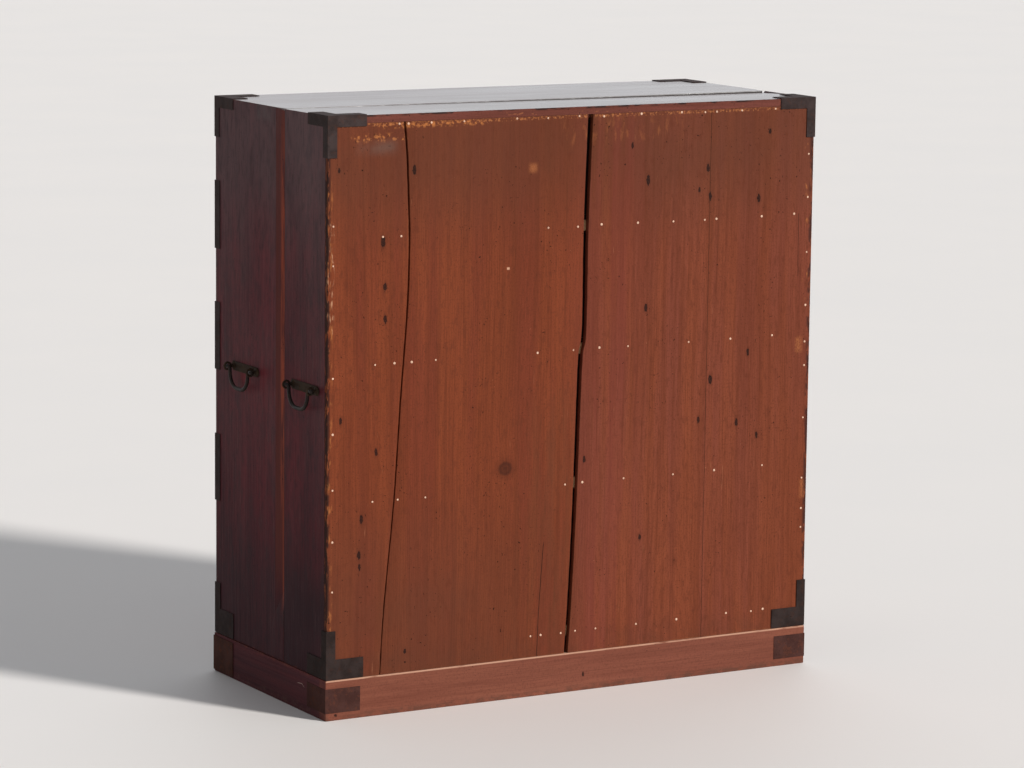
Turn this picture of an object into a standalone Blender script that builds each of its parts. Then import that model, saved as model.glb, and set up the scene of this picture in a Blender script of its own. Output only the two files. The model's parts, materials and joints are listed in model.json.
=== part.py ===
"""Four-drawer tansu chest, in metres, +Z up.

The drawers face -Y and the boarded back faces +Y. The origin is at the middle of the chest's
footprint, on the floor. Right and left are as seen from the front, so right is +X.
"""

import math

import bmesh
import bpy
from mathutils import Matrix, Vector

# Air between pieces, and how far a cutter runs past what it cuts
FIT_GAP = 0.0003
CUTTER_OVERRUN = 0.010
WELD_DISTANCE = 0.00003

# Case, which stands on the plinth
CASE_WIDTH = 0.944
CASE_DEPTH = 0.420
CASE_HEIGHT = 0.932
SIDE_THICKNESS = 0.020
TOP_THICKNESS = 0.020
SHELF_THICKNESS = 0.018
BACK_THICKNESS = 0.009
TOP_LIP_HEIGHT = 0.013
REAR_BOARD_DEPTH = 0.157
HOUSING_DEPTH = 0.006
BOTTOM_RISE = 0.028
BOTTOM_RAIL_THICKNESS = 0.020

# How the shelves share out the case's clear height, from the lowest drawer up
TIER_HEIGHT_SHARES = (238, 211, 191, 172)

# Plinth
PLINTH_HEIGHT = 0.068
PLINTH_PROUD = 0.002
PLINTH_RAIL_THICKNESS = 0.020

# Worn rear edge of each end's front board
WORN_EDGE_WIDTH = 0.032
WORN_EDGE_DEPTH = 0.0045
WORN_EDGE_FOOT = 0.080
WORN_EDGE_RUNOUT = 0.050

# Seams of the back: height shares of the back boards, and places as shares of the case's width from the right
SEAM_WAVY_SHARES = (
    (0.00, 0.1053), (0.12, 0.1127), (0.32, 0.1318), (0.50, 0.1436), (0.65, 0.1551),
    (0.72, 0.1583), (0.80, 0.1593), (0.87, 0.1570), (0.94, 0.1540), (1.00, 0.1487),
)
SEAM_OPEN_SHARES = (
    (0.00, 0.4853), (0.083, 0.4904), (0.19, 0.4956), (0.32, 0.5005), (0.47, 0.5048),
    (0.561, 0.5083), (0.58, 0.5126), (0.62, 0.5151), (0.75, 0.5156), (0.855, 0.5176), (1.00, 0.5227),
)
SEAM_WAVY_FOOT_GAP = 0.0015
SEAM_WAVY_HEAD_GAP = 0.0035
SEAM_OPEN_FOOT_GAP = 0.0073
SEAM_OPEN_HEAD_GAP = 0.0098

# Ironwork
IRON_THICKNESS = 0.0012
EDGE_LEAF_MARGIN = 0.0006
TOP_IRON_LENGTH = 0.070
TOP_IRON_WIDTH = 0.018
TOP_IRON_DROP = 0.068
TOP_IRON_UPRIGHT_WIDTH = 0.016
TOP_IRON_LEAF_WIDTH = 0.027
FRONT_FOOT_IRON_HEIGHT = 0.047
FRONT_FOOT_IRON_LENGTH = 0.071
FRONT_FOOT_IRON_RISE = 0.090
REAR_FOOT_IRON_HEIGHT = 0.035
REAR_FOOT_IRON_LENGTH = 0.068
REAR_FOOT_IRON_RISE = 0.083
FOOT_IRON_UPRIGHT_WIDTH = 0.016
FOOT_IRON_LIFT = 0.001

# Carrying handles on the ends
SIDE_PIVOT_HEIGHT = 0.547
SIDE_BAIL_REAR_PLACE = 0.080
SIDE_BAIL_FRONT_PLACE = 0.303
SIDE_BAIL_EYE_SPACING = 0.0864
SIDE_BAIL_DROP = 0.034
SIDE_SHANK_DEPTH = 0.014

# Drawer handles
DRAWER_BAIL_EYE_SPACING = 0.104
DRAWER_BAIL_DROP = 0.052
DRAWER_BAIL_PLACE = 0.235
DRAWER_BAIL_RAISE = 0.020

# Shared by all the handles
BAIL_RADIUS = 0.0035
BAIL_TIP_LENGTH = 0.0055
BAIL_TIP_SWELL_SHARE = 1.12
BAIL_EYE_SPACE = 0.0012
BAIL_BEND_RADIUS = 0.0060
BAIL_CORNER_RADIUS = 0.018
EYE_CLEARANCE = 0.0005
EYE_RADIUS = 0.0078
EYE_THICKNESS = 0.0040
EYE_NECK_HEIGHT = 0.0080
PIVOT_STANDOFF = 0.0130
SHANK_HEIGHT = 0.0040
CLENCH_HEIGHT = 0.016
CLENCH_THICKNESS = 0.0015
HANDLE_PLATE_END = 0.013
HANDLE_PLATE_HEIGHT = 0.018
HANDLE_PLATE_CHAMFER = 0.005

# Drawers
DRAWER_FRONT_THICKNESS = 0.020
DRAWER_FRONT_CLEARANCE = 0.0015
DRAWER_SIDE_CLEARANCE = 0.0012
DRAWER_WALL_THICKNESS = 0.012
DRAWER_BACK_THICKNESS = 0.010
DRAWER_BOTTOM_THICKNESS = 0.008
DRAWER_WALL_TOP_CLEARANCE = 0.004
DRAWER_REAR_CLEARANCE = 0.006

# Lock of the top drawer
LOCK_CASE_WIDTH = 0.056
LOCK_CASE_HEIGHT = 0.050
LOCK_CASE_DEPTH = 0.010
LOCK_CASE_WALL = 0.0015
LOCK_CASE_INSET = 0.0005
KEYHOLE_WIDTH = 0.0056
KEYHOLE_HEIGHT = 0.0160
KEYHOLE_DROP = 0.030
BOLT_WIDTH = 0.014
BOLT_THICKNESS = 0.004
BOLT_LENGTH = 0.022
BOLT_TRAVEL = 0.008
BOLT_CLEARANCE = 0.0005
BOLT_SHOULDER_WIDTH = 0.030

# Facets of the round shapes
EYE_HOLE_SIDES = 8
EYE_ARC_STEPS = 6
BEND_STEPS = 2
CORNER_STEPS = 3
ROD_RESOLUTION = 2
FLAT_ANGLE = math.radians(0.5)
SMOOTH_ANGLE = math.radians(50.0)

# Places worked out from the sizes
DRAWER_COUNT = len(TIER_HEIGHT_SHARES)
CLEAR_HEIGHT = CASE_HEIGHT - BOTTOM_RISE - DRAWER_COUNT * SHELF_THICKNESS - TOP_THICKNESS
TIER_HEIGHTS = [CLEAR_HEIGHT * share / sum(TIER_HEIGHT_SHARES) for share in TIER_HEIGHT_SHARES]
CASE_TOP_Z = PLINTH_HEIGHT + CASE_HEIGHT
TOP_UNDERSIDE_Z = CASE_TOP_Z - TOP_THICKNESS
BACK_TOP_Z = CASE_TOP_Z - TOP_LIP_HEIGHT
FRONT_REACH = PIVOT_STANDOFF + EYE_RADIUS
REAR_REACH = max(PLINTH_PROUD, FIT_GAP + IRON_THICKNESS)
CASE_MIDDLE_Y = (FRONT_REACH - REAR_REACH) / 2
FRONT_Y = CASE_MIDDLE_Y - CASE_DEPTH / 2
REAR_Y = CASE_MIDDLE_Y + CASE_DEPTH / 2
SEAM_Y = REAR_Y - REAR_BOARD_DEPTH
BACK_FACE_Y = REAR_Y - BACK_THICKNESS
SIDE_X = CASE_WIDTH / 2
INNER_X = SIDE_X - SIDE_THICKNESS
BOTTOM_Z = PLINTH_HEIGHT + BOTTOM_RISE
CASE_FOOT_Z = PLINTH_HEIGHT + FIT_GAP
BACK_HEIGHT = BACK_TOP_Z - CASE_FOOT_Z
IRON_LIFT = FIT_GAP + IRON_THICKNESS
MITRE_GAP = FIT_GAP

ENDS = (("right", 1), ("left", -1))
OBJECT_COLLECTION = "tansu_chest"
CUTTER_COLLECTION = "cutters"

# Finishes: colour, roughness, metallic
FINISHES = {
    "end_lacquer": ((0.052, 0.018, 0.020), 0.42, 0.0),
    "top_lacquer": ((0.070, 0.030, 0.026), 0.36, 0.0),
    "front_lacquer": ((0.085, 0.026, 0.018), 0.40, 0.0),
    "back_cedar": ((0.215, 0.058, 0.026), 0.68, 0.0),
    "inner_wood": ((0.360, 0.215, 0.110), 0.75, 0.0),
    "iron": ((0.030, 0.025, 0.026), 0.55, 0.85),
}


def clear_scene():
    """Start from an empty file."""
    for obj in list(bpy.data.objects):
        bpy.data.objects.remove(obj, do_unlink=True)


def collection_named(name):
    """Find or make a collection in the scene."""
    found = bpy.data.collections.get(name)
    if found is None:
        found = bpy.data.collections.new(name)
        bpy.context.scene.collection.children.link(found)
    return found


def tier_floor(tier):
    """Height of the board that a drawer runs on, counted from 0 for the lowest."""
    below = sum(TIER_HEIGHTS[:tier])
    return BOTTOM_Z + SHELF_THICKNESS + below + tier * SHELF_THICKNESS


def dress(obj, finish):
    """Give an object its own material."""
    colour, roughness, metallic = FINISHES[finish]
    material = bpy.data.materials.new(obj.name + "_" + finish)
    material.use_nodes = True
    shader = material.node_tree.nodes["Principled BSDF"]
    shader.inputs["Base Color"].default_value = (*colour, 1.0)
    shader.inputs["Roughness"].default_value = roughness
    shader.inputs["Metallic"].default_value = metallic
    material.diffuse_color = (*colour, 1.0)
    obj.data.materials.clear()
    obj.data.materials.append(material)
    return obj


def add_object(name, mesh, matrix, collection=OBJECT_COLLECTION):
    """Link a mesh to the scene under a name."""
    obj = bpy.data.objects.new(name, mesh)
    collection_named(collection).objects.link(obj)
    obj.matrix_world = matrix
    return obj


def add_box(bm, low, high, middle):
    """Add a box between two corners to a mesh whose origin is at middle."""
    low = Vector(low) - middle
    high = Vector(high) - middle
    centre = (low + high) / 2
    size = high - low
    made = bmesh.ops.create_cube(bm, size=1.0)
    bmesh.ops.scale(bm, vec=size, verts=made["verts"])
    bmesh.ops.translate(bm, vec=centre, verts=made["verts"])


def boxes(name, corner_pairs, collection=OBJECT_COLLECTION):
    """One object of separate boxes, each given by its low and high corners."""
    lows = [Vector(pair[0]) for pair in corner_pairs]
    highs = [Vector(pair[1]) for pair in corner_pairs]
    low = Vector([min(corner[axis] for corner in lows) for axis in range(3)])
    high = Vector([max(corner[axis] for corner in highs) for axis in range(3)])
    middle = (low + high) / 2
    bm = bmesh.new()
    for pair in corner_pairs:
        add_box(bm, pair[0], pair[1], middle)
    mesh = bpy.data.meshes.new(name)
    bm.to_mesh(mesh)
    bm.free()
    return add_object(name, mesh, Matrix.Translation(middle), collection)


def box(name, low, high, collection=OBJECT_COLLECTION):
    """One box between two corners."""
    return boxes(name, [(low, high)], collection)


def weld_caps(mesh):
    """Join a converted curve's loose caps to its sides."""
    bm = bmesh.new()
    bm.from_mesh(mesh)
    bmesh.ops.remove_doubles(bm, verts=bm.verts, dist=WELD_DISTANCE)
    bmesh.ops.recalc_face_normals(bm, faces=bm.faces)
    bm.to_mesh(mesh)
    bm.free()


def mesh_from_curve(name, curve, matrix, collection):
    """Turn a curve into a mesh object that keeps its place."""
    holder = bpy.data.objects.new(name + "_curve", curve)
    bpy.context.scene.collection.objects.link(holder)
    holder.matrix_world = matrix
    bpy.context.view_layer.update()
    graph = bpy.context.evaluated_depsgraph_get()
    mesh = bpy.data.meshes.new_from_object(holder.evaluated_get(graph))
    mesh.name = name
    weld_caps(mesh)
    obj = add_object(name, mesh, holder.matrix_world.copy(), collection)
    bpy.data.objects.remove(holder, do_unlink=True)
    return obj


def plane_matrix(origin, along_u, along_v):
    """Matrix of a flat outline's plane: u and v lie in it, and its thickness is across."""
    u = Vector(along_u).normalized()
    v = Vector(along_v).normalized()
    across = u.cross(v)
    turn = Matrix((u, v, across)).transposed().to_4x4()
    return Matrix.Translation(Vector(origin)) @ turn


def slab(name, rings, thickness, matrix, collection=OBJECT_COLLECTION):
    """A flat outline of the given thickness, with its later rings as holes."""
    curve = bpy.data.curves.new(name, "CURVE")
    curve.dimensions = "2D"
    curve.fill_mode = "BOTH"
    curve.extrude = thickness / 2
    for ring in rings:
        spline = curve.splines.new("POLY")
        spline.points.add(len(ring) - 1)
        for point, (u, v) in zip(spline.points, ring):
            point.co = (u, v, 0.0, 1.0)
        spline.use_cyclic_u = True
    return mesh_from_curve(name, curve, matrix, collection)


def rod(name, points, radius, tip_scale_share, matrix):
    """A round bar along points in its local frame, with its two tips forged thicker."""
    curve = bpy.data.curves.new(name, "CURVE")
    curve.dimensions = "3D"
    curve.bevel_depth = radius
    curve.bevel_resolution = ROD_RESOLUTION
    curve.use_fill_caps = True
    spline = curve.splines.new("POLY")
    spline.points.add(len(points) - 1)
    for point, place in zip(spline.points, points):
        point.co = (*place, 1.0)
    spline.points[0].radius = tip_scale_share
    spline.points[-1].radius = tip_scale_share
    obj = mesh_from_curve(name, curve, matrix, OBJECT_COLLECTION)
    obj.data.shade_smooth()
    obj.data.set_sharp_from_angle(angle=SMOOTH_ANGLE)
    return obj


def as_cutter(obj):
    """Mark an object as one that only cuts."""
    obj.hide_render = True
    obj.display_type = "WIRE"
    return obj


def boolean(obj, tool, operation):
    """Cut or join an object with another through a modifier."""
    modifier = obj.modifiers.new(operation.lower() + "_" + tool.name, "BOOLEAN")
    modifier.operation = operation
    modifier.solver = "EXACT"
    modifier.object = tool


def cut(obj, tool):
    """Take the tool's shape out of the object."""
    boolean(obj, tool, "DIFFERENCE")


def finished_mesh(obj):
    """The object's mesh with its modifiers, in world coordinates."""
    bpy.context.view_layer.update()
    graph = bpy.context.evaluated_depsgraph_get()
    mesh = bpy.data.meshes.new_from_object(obj.evaluated_get(graph))
    mesh.transform(obj.matrix_world)
    return mesh


def merge_flat_faces(mesh):
    """Dissolve the edges that a union leaves across flat faces."""
    bm = bmesh.new()
    bm.from_mesh(mesh)
    bmesh.ops.dissolve_limit(bm, angle_limit=FLAT_ANGLE, verts=bm.verts, edges=bm.edges)
    bmesh.ops.triangulate(bm, faces=bm.faces)
    bm.to_mesh(mesh)
    bm.free()


def centred(name, mesh):
    """Make an object of a world-placed mesh, with its origin at the mesh's middle."""
    corners = [vert.co for vert in mesh.vertices]
    low = Vector([min(corner[axis] for corner in corners) for axis in range(3)])
    high = Vector([max(corner[axis] for corner in corners) for axis in range(3)])
    middle = (low + high) / 2
    mesh.transform(Matrix.Translation(-middle))
    return add_object(name, mesh, Matrix.Translation(middle))


def fused(name, pieces):
    """Overlapping pieces joined into one solid."""
    first = pieces[0]
    for tool in pieces[1:]:
        boolean(first, tool, "UNION")
    mesh = finished_mesh(first)
    merge_flat_faces(mesh)
    for piece in pieces:
        bpy.data.objects.remove(piece, do_unlink=True)
    return centred(name, mesh)


def axis_empty(name, place):
    """An empty on a moving assembly's axis."""
    empty = bpy.data.objects.new(name, None)
    collection_named(OBJECT_COLLECTION).objects.link(empty)
    empty.location = place
    empty.empty_display_size = PLINTH_HEIGHT
    return empty


def hang_on(parent, pieces):
    """Parent pieces without moving them."""
    bpy.context.view_layer.update()
    for piece in pieces:
        piece.parent = parent
        piece.matrix_parent_inverse = parent.matrix_world.inverted()


def circle_ring(centre_u, centre_v, radius, sides):
    """Points round a circle."""
    turn = math.tau / sides
    return [
        (centre_u + radius * math.cos(turn * step), centre_v + radius * math.sin(turn * step))
        for step in range(sides)
    ]


def rectangle_ring(low_u, low_v, high_u, high_v):
    """The four corners of an upright rectangle."""
    return [(low_u, low_v), (high_u, low_v), (high_u, high_v), (low_u, high_v)]


# Plinth


def make_plinth():
    """Four rails on edge, mitred at the corners."""
    out_x = SIDE_X + PLINTH_PROUD
    in_x = out_x - PLINTH_RAIL_THICKNESS
    half_depth = CASE_DEPTH / 2 + PLINTH_PROUD
    in_y = half_depth - PLINTH_RAIL_THICKNESS
    middle_z = PLINTH_HEIGHT / 2
    long_rail = [
        (-out_x + MITRE_GAP, half_depth), (out_x - MITRE_GAP, half_depth),
        (in_x - MITRE_GAP, in_y), (-in_x + MITRE_GAP, in_y),
    ]
    short_rail = [(out_x, -half_depth), (out_x, half_depth), (in_x, in_y), (in_x, -in_y)]
    pieces = []
    for name, side in (("plinth_rear_rail", 1), ("plinth_front_rail", -1)):
        matrix = plane_matrix((0, CASE_MIDDLE_Y, middle_z), (side, 0, 0), (0, side, 0))
        pieces.append(slab(name, [long_rail], PLINTH_HEIGHT, matrix))
    for name, side in (("plinth_right_rail", 1), ("plinth_left_rail", -1)):
        matrix = plane_matrix((0, CASE_MIDDLE_Y, middle_z), (side, 0, 0), (0, side, 0))
        pieces.append(slab(name, [short_rail], PLINTH_HEIGHT, matrix))
    for piece in pieces:
        dress(piece, "end_lacquer")
    dress(bpy.data.objects["plinth_rear_rail"], "back_cedar")
    return pieces


# Case


def end_outline():
    """An end board's upright section, inner to outer face, mitred at the head."""
    return [
        (INNER_X, CASE_FOOT_Z), (SIDE_X, CASE_FOOT_Z),
        (SIDE_X, CASE_TOP_Z - MITRE_GAP), (INNER_X, TOP_UNDERSIDE_Z - MITRE_GAP),
    ]


def make_end_boards():
    """Two upright boards at each end of the case."""
    outline = end_outline()
    pieces = []
    stretches = (
        ("front_board", FRONT_Y, SEAM_Y - FIT_GAP / 2),
        ("rear_board", SEAM_Y + FIT_GAP / 2, BACK_FACE_Y - FIT_GAP),
    )
    for end_name, side in ENDS:
        for board, near, far in stretches:
            ring = [(side * x, z) for x, z in outline]
            matrix = plane_matrix((0, (near + far) / 2, 0), (1, 0, 0), (0, 0, 1))
            name = "side_" + end_name + "_" + board
            pieces.append(dress(slab(name, [ring], far - near, matrix), "end_lacquer"))
    return pieces


def make_top_boards():
    """Two boards over the case: mitred ends, and a lip over the back boards."""
    front = box(
        "top_front_board",
        (-SIDE_X, FRONT_Y, TOP_UNDERSIDE_Z),
        (SIDE_X, SEAM_Y - FIT_GAP / 2, CASE_TOP_Z),
    )
    rear = box(
        "top_rear_board",
        (-SIDE_X, SEAM_Y + FIT_GAP / 2, TOP_UNDERSIDE_Z),
        (SIDE_X, REAR_Y, CASE_TOP_Z),
    )
    reach = CUTTER_OVERRUN
    near = FRONT_Y - reach
    mitre_matrix = plane_matrix((0, (near + BACK_FACE_Y) / 2, 0), (1, 0, 0), (0, 0, 1))
    mitre_depth = BACK_FACE_Y - near
    for name, side in (("top_mitre_cutter_right", 1), ("top_mitre_cutter_left", -1)):
        ring = [
            (side * (SIDE_X + reach), CASE_TOP_Z + reach),
            (side * (SIDE_X + reach), TOP_UNDERSIDE_Z - reach),
            (side * (INNER_X - reach), TOP_UNDERSIDE_Z - reach),
        ]
        wedge = as_cutter(slab(name, [ring], mitre_depth, mitre_matrix, CUTTER_COLLECTION))
        cut(front, wedge)
        cut(rear, wedge)
    rabbet = as_cutter(box(
        "top_rabbet_cutter",
        (-SIDE_X - reach, BACK_FACE_Y - FIT_GAP, TOP_UNDERSIDE_Z - reach),
        (SIDE_X + reach, REAR_Y + reach, BACK_TOP_Z),
        CUTTER_COLLECTION,
    ))
    cut(rear, rabbet)
    dress(front, "top_lacquer")
    dress(rear, "top_lacquer")
    return front


def cut_worn_edges(front_ends, top_front):
    """Take off the worn arris along the rear edge of each end's front board."""
    for side, board in zip((1, -1), front_ends):
        reach_x = side * (SIDE_X + WORN_EDGE_DEPTH)
        ring = [
            (side * SIDE_X, SEAM_Y - WORN_EDGE_WIDTH),
            (reach_x, SEAM_Y - WORN_EDGE_WIDTH),
            (reach_x, SEAM_Y + WORN_EDGE_DEPTH),
            (side * (SIDE_X - WORN_EDGE_DEPTH), SEAM_Y + WORN_EDGE_DEPTH),
            (side * (SIDE_X - WORN_EDGE_DEPTH), SEAM_Y),
        ]
        foot = PLINTH_HEIGHT + WORN_EDGE_FOOT
        head = CASE_TOP_Z + CUTTER_OVERRUN
        matrix = plane_matrix((0, 0, (foot + head) / 2), (1, 0, 0), (0, 1, 0))
        cutter = slab("worn_edge_cutter", [ring], head - foot, matrix, CUTTER_COLLECTION)
        # The foot of the cut runs out to the face instead of ending square
        slope = Vector((-side * WORN_EDGE_RUNOUT, 0, -WORN_EDGE_DEPTH))
        bm = bmesh.new()
        bm.from_mesh(cutter.data)
        local_foot = (side * SIDE_X, 0, foot - (foot + head) / 2)
        sliced = bmesh.ops.bisect_plane(
            bm, geom=bm.verts[:] + bm.edges[:] + bm.faces[:],
            plane_co=local_foot, plane_no=slope, clear_outer=True,
        )
        rim = [item for item in sliced["geom_cut"] if isinstance(item, bmesh.types.BMEdge)]
        bmesh.ops.holes_fill(bm, edges=rim, sides=len(rim))
        bmesh.ops.recalc_face_normals(bm, faces=bm.faces)
        bm.to_mesh(cutter.data)
        bm.free()
        as_cutter(cutter)
        cut(board, cutter)
        cut(top_front, cutter)


def make_shelves():
    """Three shelves and the bottom board, let into the ends."""
    end_x = INNER_X + HOUSING_DEPTH - FIT_GAP
    pieces = []
    bottom = box(
        "bottom_board",
        (-end_x, FRONT_Y + BOTTOM_RAIL_THICKNESS + FIT_GAP, BOTTOM_Z),
        (end_x, BACK_FACE_Y - FIT_GAP, BOTTOM_Z + SHELF_THICKNESS),
    )
    pieces.append(bottom)
    for tier in range(1, DRAWER_COUNT):
        top = tier_floor(tier)
        shelf = box(
            "shelf_" + str(tier),
            (-end_x, FRONT_Y, top - SHELF_THICKNESS),
            (end_x, BACK_FACE_Y - FIT_GAP, top),
        )
        pieces.append(shelf)
    for piece in pieces:
        dress(piece, "inner_wood")
    return pieces


def cut_housings(end_boards):
    """Grooves across the ends for the shelves and the bottom board."""
    grooves = []
    for tier in range(DRAWER_COUNT):
        top = tier_floor(tier)
        for side in (1, -1):
            far_x = side * (INNER_X + HOUSING_DEPTH)
            near_x = side * (INNER_X - CUTTER_OVERRUN)
            low_y = FRONT_Y - CUTTER_OVERRUN
            if tier == 0:
                low_y = FRONT_Y + BOTTOM_RAIL_THICKNESS
            grooves.append((
                (min(far_x, near_x), low_y, top - SHELF_THICKNESS - FIT_GAP),
                (max(far_x, near_x), REAR_Y, top + FIT_GAP),
            ))
    cutter = as_cutter(boxes("housing_cutter", grooves, CUTTER_COLLECTION))
    for board in end_boards:
        cut(board, cutter)


def make_front_bottom_rail():
    """The rail between the ends, under the lowest drawer."""
    rail = box(
        "front_bottom_rail",
        (-INNER_X + FIT_GAP, FRONT_Y, CASE_FOOT_Z),
        (INNER_X - FIT_GAP, FRONT_Y + BOTTOM_RAIL_THICKNESS, BOTTOM_Z + SHELF_THICKNESS),
    )
    return dress(rail, "front_lacquer")


# Back


def back_x(width_share):
    """Place across the back, from a share of the case's width counted from the right."""
    return SIDE_X - width_share * CASE_WIDTH


def seam_edge(shares, foot_gap, head_gap, toward):
    """One edge of a seam, from its foot to its head: toward is 1 for the edge on the right."""
    points = []
    for height_share, width_share in shares:
        gap = foot_gap + (head_gap - foot_gap) * height_share
        z = CASE_FOOT_Z + (BACK_HEIGHT - FIT_GAP) * height_share
        points.append((back_x(width_share) + toward * gap / 2, z))
    return points


def make_back_boards():
    """Three upright boards that overlay the ends' rear edges, with two open seams between them."""
    seams = (
        (SEAM_WAVY_SHARES, SEAM_WAVY_FOOT_GAP, SEAM_WAVY_HEAD_GAP),
        (SEAM_OPEN_SHARES, SEAM_OPEN_FOOT_GAP, SEAM_OPEN_HEAD_GAP),
    )
    head = BACK_TOP_Z - FIT_GAP
    right_edges = [[(SIDE_X, CASE_FOOT_Z), (SIDE_X, head)]]
    left_edges = []
    for shares, foot_gap, head_gap in seams:
        left_edges.append(seam_edge(shares, foot_gap, head_gap, 1))
        right_edges.append(seam_edge(shares, foot_gap, head_gap, -1))
    left_edges.append([(-SIDE_X, CASE_FOOT_Z), (-SIDE_X, head)])
    matrix = plane_matrix((0, (BACK_FACE_Y + REAR_Y) / 2, 0), (1, 0, 0), (0, 0, 1))
    boards = []
    for number, (right, left) in enumerate(zip(right_edges, left_edges), start=1):
        ring = right + left[::-1]
        name = "back_board_" + str(number)
        boards.append(dress(slab(name, [ring], BACK_THICKNESS, matrix), "back_cedar"))
    return boards


# Ironwork


def corner_box(corner, inward, spans):
    """A box given by spans counted inward from an iron's outer corner."""
    low = []
    high = []
    for axis in range(3):
        ends = [corner[axis] + inward[axis] * reach for reach in spans[axis]]
        low.append(min(ends))
        high.append(max(ends))
    return tuple(low), tuple(high)


def corner_iron(name, corner, inward, leaves):
    """One iron of several leaves that meet at a corner."""
    pieces = [box("leaf", *corner_box(corner, inward, spans)) for spans in leaves]
    return dress(fused(name, pieces), "iron")


def leaf(axis, reaches, lift):
    """Spans of a leaf lying across one axis, reaching inward along the other two."""
    spans = [(0, reach + lift) for reach in reaches]
    spans[axis] = (0, IRON_THICKNESS)
    return spans


def make_top_irons(place_name, facing, face_y, face_width, upright_width):
    """Three-leaf irons on the two upper corners at the front or the rear."""
    lift = IRON_LIFT
    leaves = [
        leaf(0, (0, TOP_IRON_LENGTH, TOP_IRON_WIDTH), lift),
        leaf(0, (0, TOP_IRON_UPRIGHT_WIDTH, TOP_IRON_DROP), lift),
        leaf(1, (TOP_IRON_LENGTH, 0, face_width), lift),
        leaf(1, (upright_width, 0, TOP_IRON_DROP), lift),
        leaf(2, (TOP_IRON_LENGTH, TOP_IRON_LEAF_WIDTH, 0), lift),
        leaf(2, (TOP_IRON_LEAF_WIDTH, TOP_IRON_LENGTH, 0), lift),
    ]
    for end_name, side in ENDS:
        corner = (side * (SIDE_X + lift), face_y + facing * lift, CASE_TOP_Z + lift)
        corner_iron("top_iron_" + end_name + "_" + place_name, corner, (-side, -facing, -1), leaves)


def make_foot_irons(place_name, facing, face_y, length, height, rise, upright_width):
    """Two-leaf irons on the two lower corners at the front or the rear."""
    lift = IRON_LIFT
    foot = FOOT_IRON_LIFT
    leaves = []
    for axis in (0, 1):
        flat = leaf(axis, (length, length, 0), lift)
        flat[2] = (0, height - foot)
        upright = leaf(axis, (upright_width, upright_width, 0), lift)
        upright[2] = (0, rise - foot)
        leaves += [flat, upright]
    for end_name, side in ENDS:
        corner = (side * (SIDE_X + lift), face_y + facing * lift, PLINTH_HEIGHT + foot)
        corner_iron("foot_iron_" + end_name + "_" + place_name, corner, (-side, -facing, 1), leaves)


def make_ironwork():
    """The irons on the case's eight corners."""
    front_face_width = TOP_THICKNESS - EDGE_LEAF_MARGIN
    front_upright = SIDE_THICKNESS - EDGE_LEAF_MARGIN
    make_top_irons("front", -1, FRONT_Y, front_face_width, front_upright)
    make_top_irons("rear", 1, REAR_Y, TOP_IRON_WIDTH, TOP_IRON_UPRIGHT_WIDTH)
    front_height = min(FRONT_FOOT_IRON_HEIGHT, BOTTOM_RISE + SHELF_THICKNESS - EDGE_LEAF_MARGIN)
    make_foot_irons(
        "front", -1, FRONT_Y, FRONT_FOOT_IRON_LENGTH, front_height, FRONT_FOOT_IRON_RISE, front_upright,
    )
    make_foot_irons(
        "rear", 1, REAR_Y, REAR_FOOT_IRON_LENGTH, REAR_FOOT_IRON_HEIGHT, REAR_FOOT_IRON_RISE,
        FOOT_IRON_UPRIGHT_WIDTH,
    )


# Handles


def eye_hole_radius():
    """Corner radius of the eye's hole, so that its flats clear the bar."""
    return (BAIL_RADIUS + EYE_CLEARANCE) / math.cos(math.pi / EYE_HOLE_SIDES)


def post_rings(depth, clenched):
    """Outline and hole of an eye post: u is outward from the board's face, v is up from the pivot."""
    neck = EYE_NECK_HEIGHT / 2
    shank = SHANK_HEIGHT / 2
    shoulder = FIT_GAP + IRON_THICKNESS / 2
    neck_angle = math.asin(neck / EYE_RADIUS)
    first_angle = neck_angle - math.pi
    arc_step = 2 * (math.pi - neck_angle) / EYE_ARC_STEPS
    angles = [first_angle + arc_step * step for step in range(EYE_ARC_STEPS + 1)]
    arc = [(PIVOT_STANDOFF + EYE_RADIUS * math.cos(turn), EYE_RADIUS * math.sin(turn)) for turn in angles]
    tail = [(-depth, shank), (-depth, -shank)]
    if clenched:
        clench = CLENCH_HEIGHT / 2
        inner = -depth - FIT_GAP
        tail = [
            (inner, shank), (inner, clench), (inner - CLENCH_THICKNESS, clench),
            (inner - CLENCH_THICKNESS, -clench), (inner, -clench), (inner, -shank),
        ]
    outline = tail + [(shoulder, -shank), (shoulder, -neck)] + arc + [(shoulder, neck), (shoulder, shank)]
    hole = circle_ring(PIVOT_STANDOFF, 0.0, eye_hole_radius(), EYE_HOLE_SIDES)
    return [outline, hole]


def plate_ring(half_length):
    """Outline of a handle's back plate, with cut corners."""
    high = HANDLE_PLATE_HEIGHT / 2
    chamfer = HANDLE_PLATE_CHAMFER
    return [
        (-half_length, chamfer - high), (chamfer - half_length, -high),
        (half_length - chamfer, -high), (half_length, chamfer - high),
        (half_length, high - chamfer), (half_length - chamfer, high),
        (chamfer - half_length, high), (-half_length, high - chamfer),
    ]


def make_handle_plate(name, pivot, along, outward, eye_spacing, depth, clenched):
    """A handle's back plate with the two eye posts that are riveted through it into the board."""
    foot = Vector(pivot) - PIVOT_STANDOFF * Vector(outward)
    middle = foot + (FIT_GAP + IRON_THICKNESS / 2) * Vector(outward)
    ring = plate_ring(eye_spacing / 2 + HANDLE_PLATE_END)
    pieces = [slab("plate", [ring], IRON_THICKNESS, plane_matrix(middle, along, (0, 0, 1)))]
    for eye in eye_places(foot, along, eye_spacing):
        matrix = plane_matrix(eye, outward, (0, 0, 1))
        pieces.append(slab("post", post_rings(depth, clenched), EYE_THICKNESS, matrix))
    return dress(fused(name, pieces), "iron")


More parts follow.
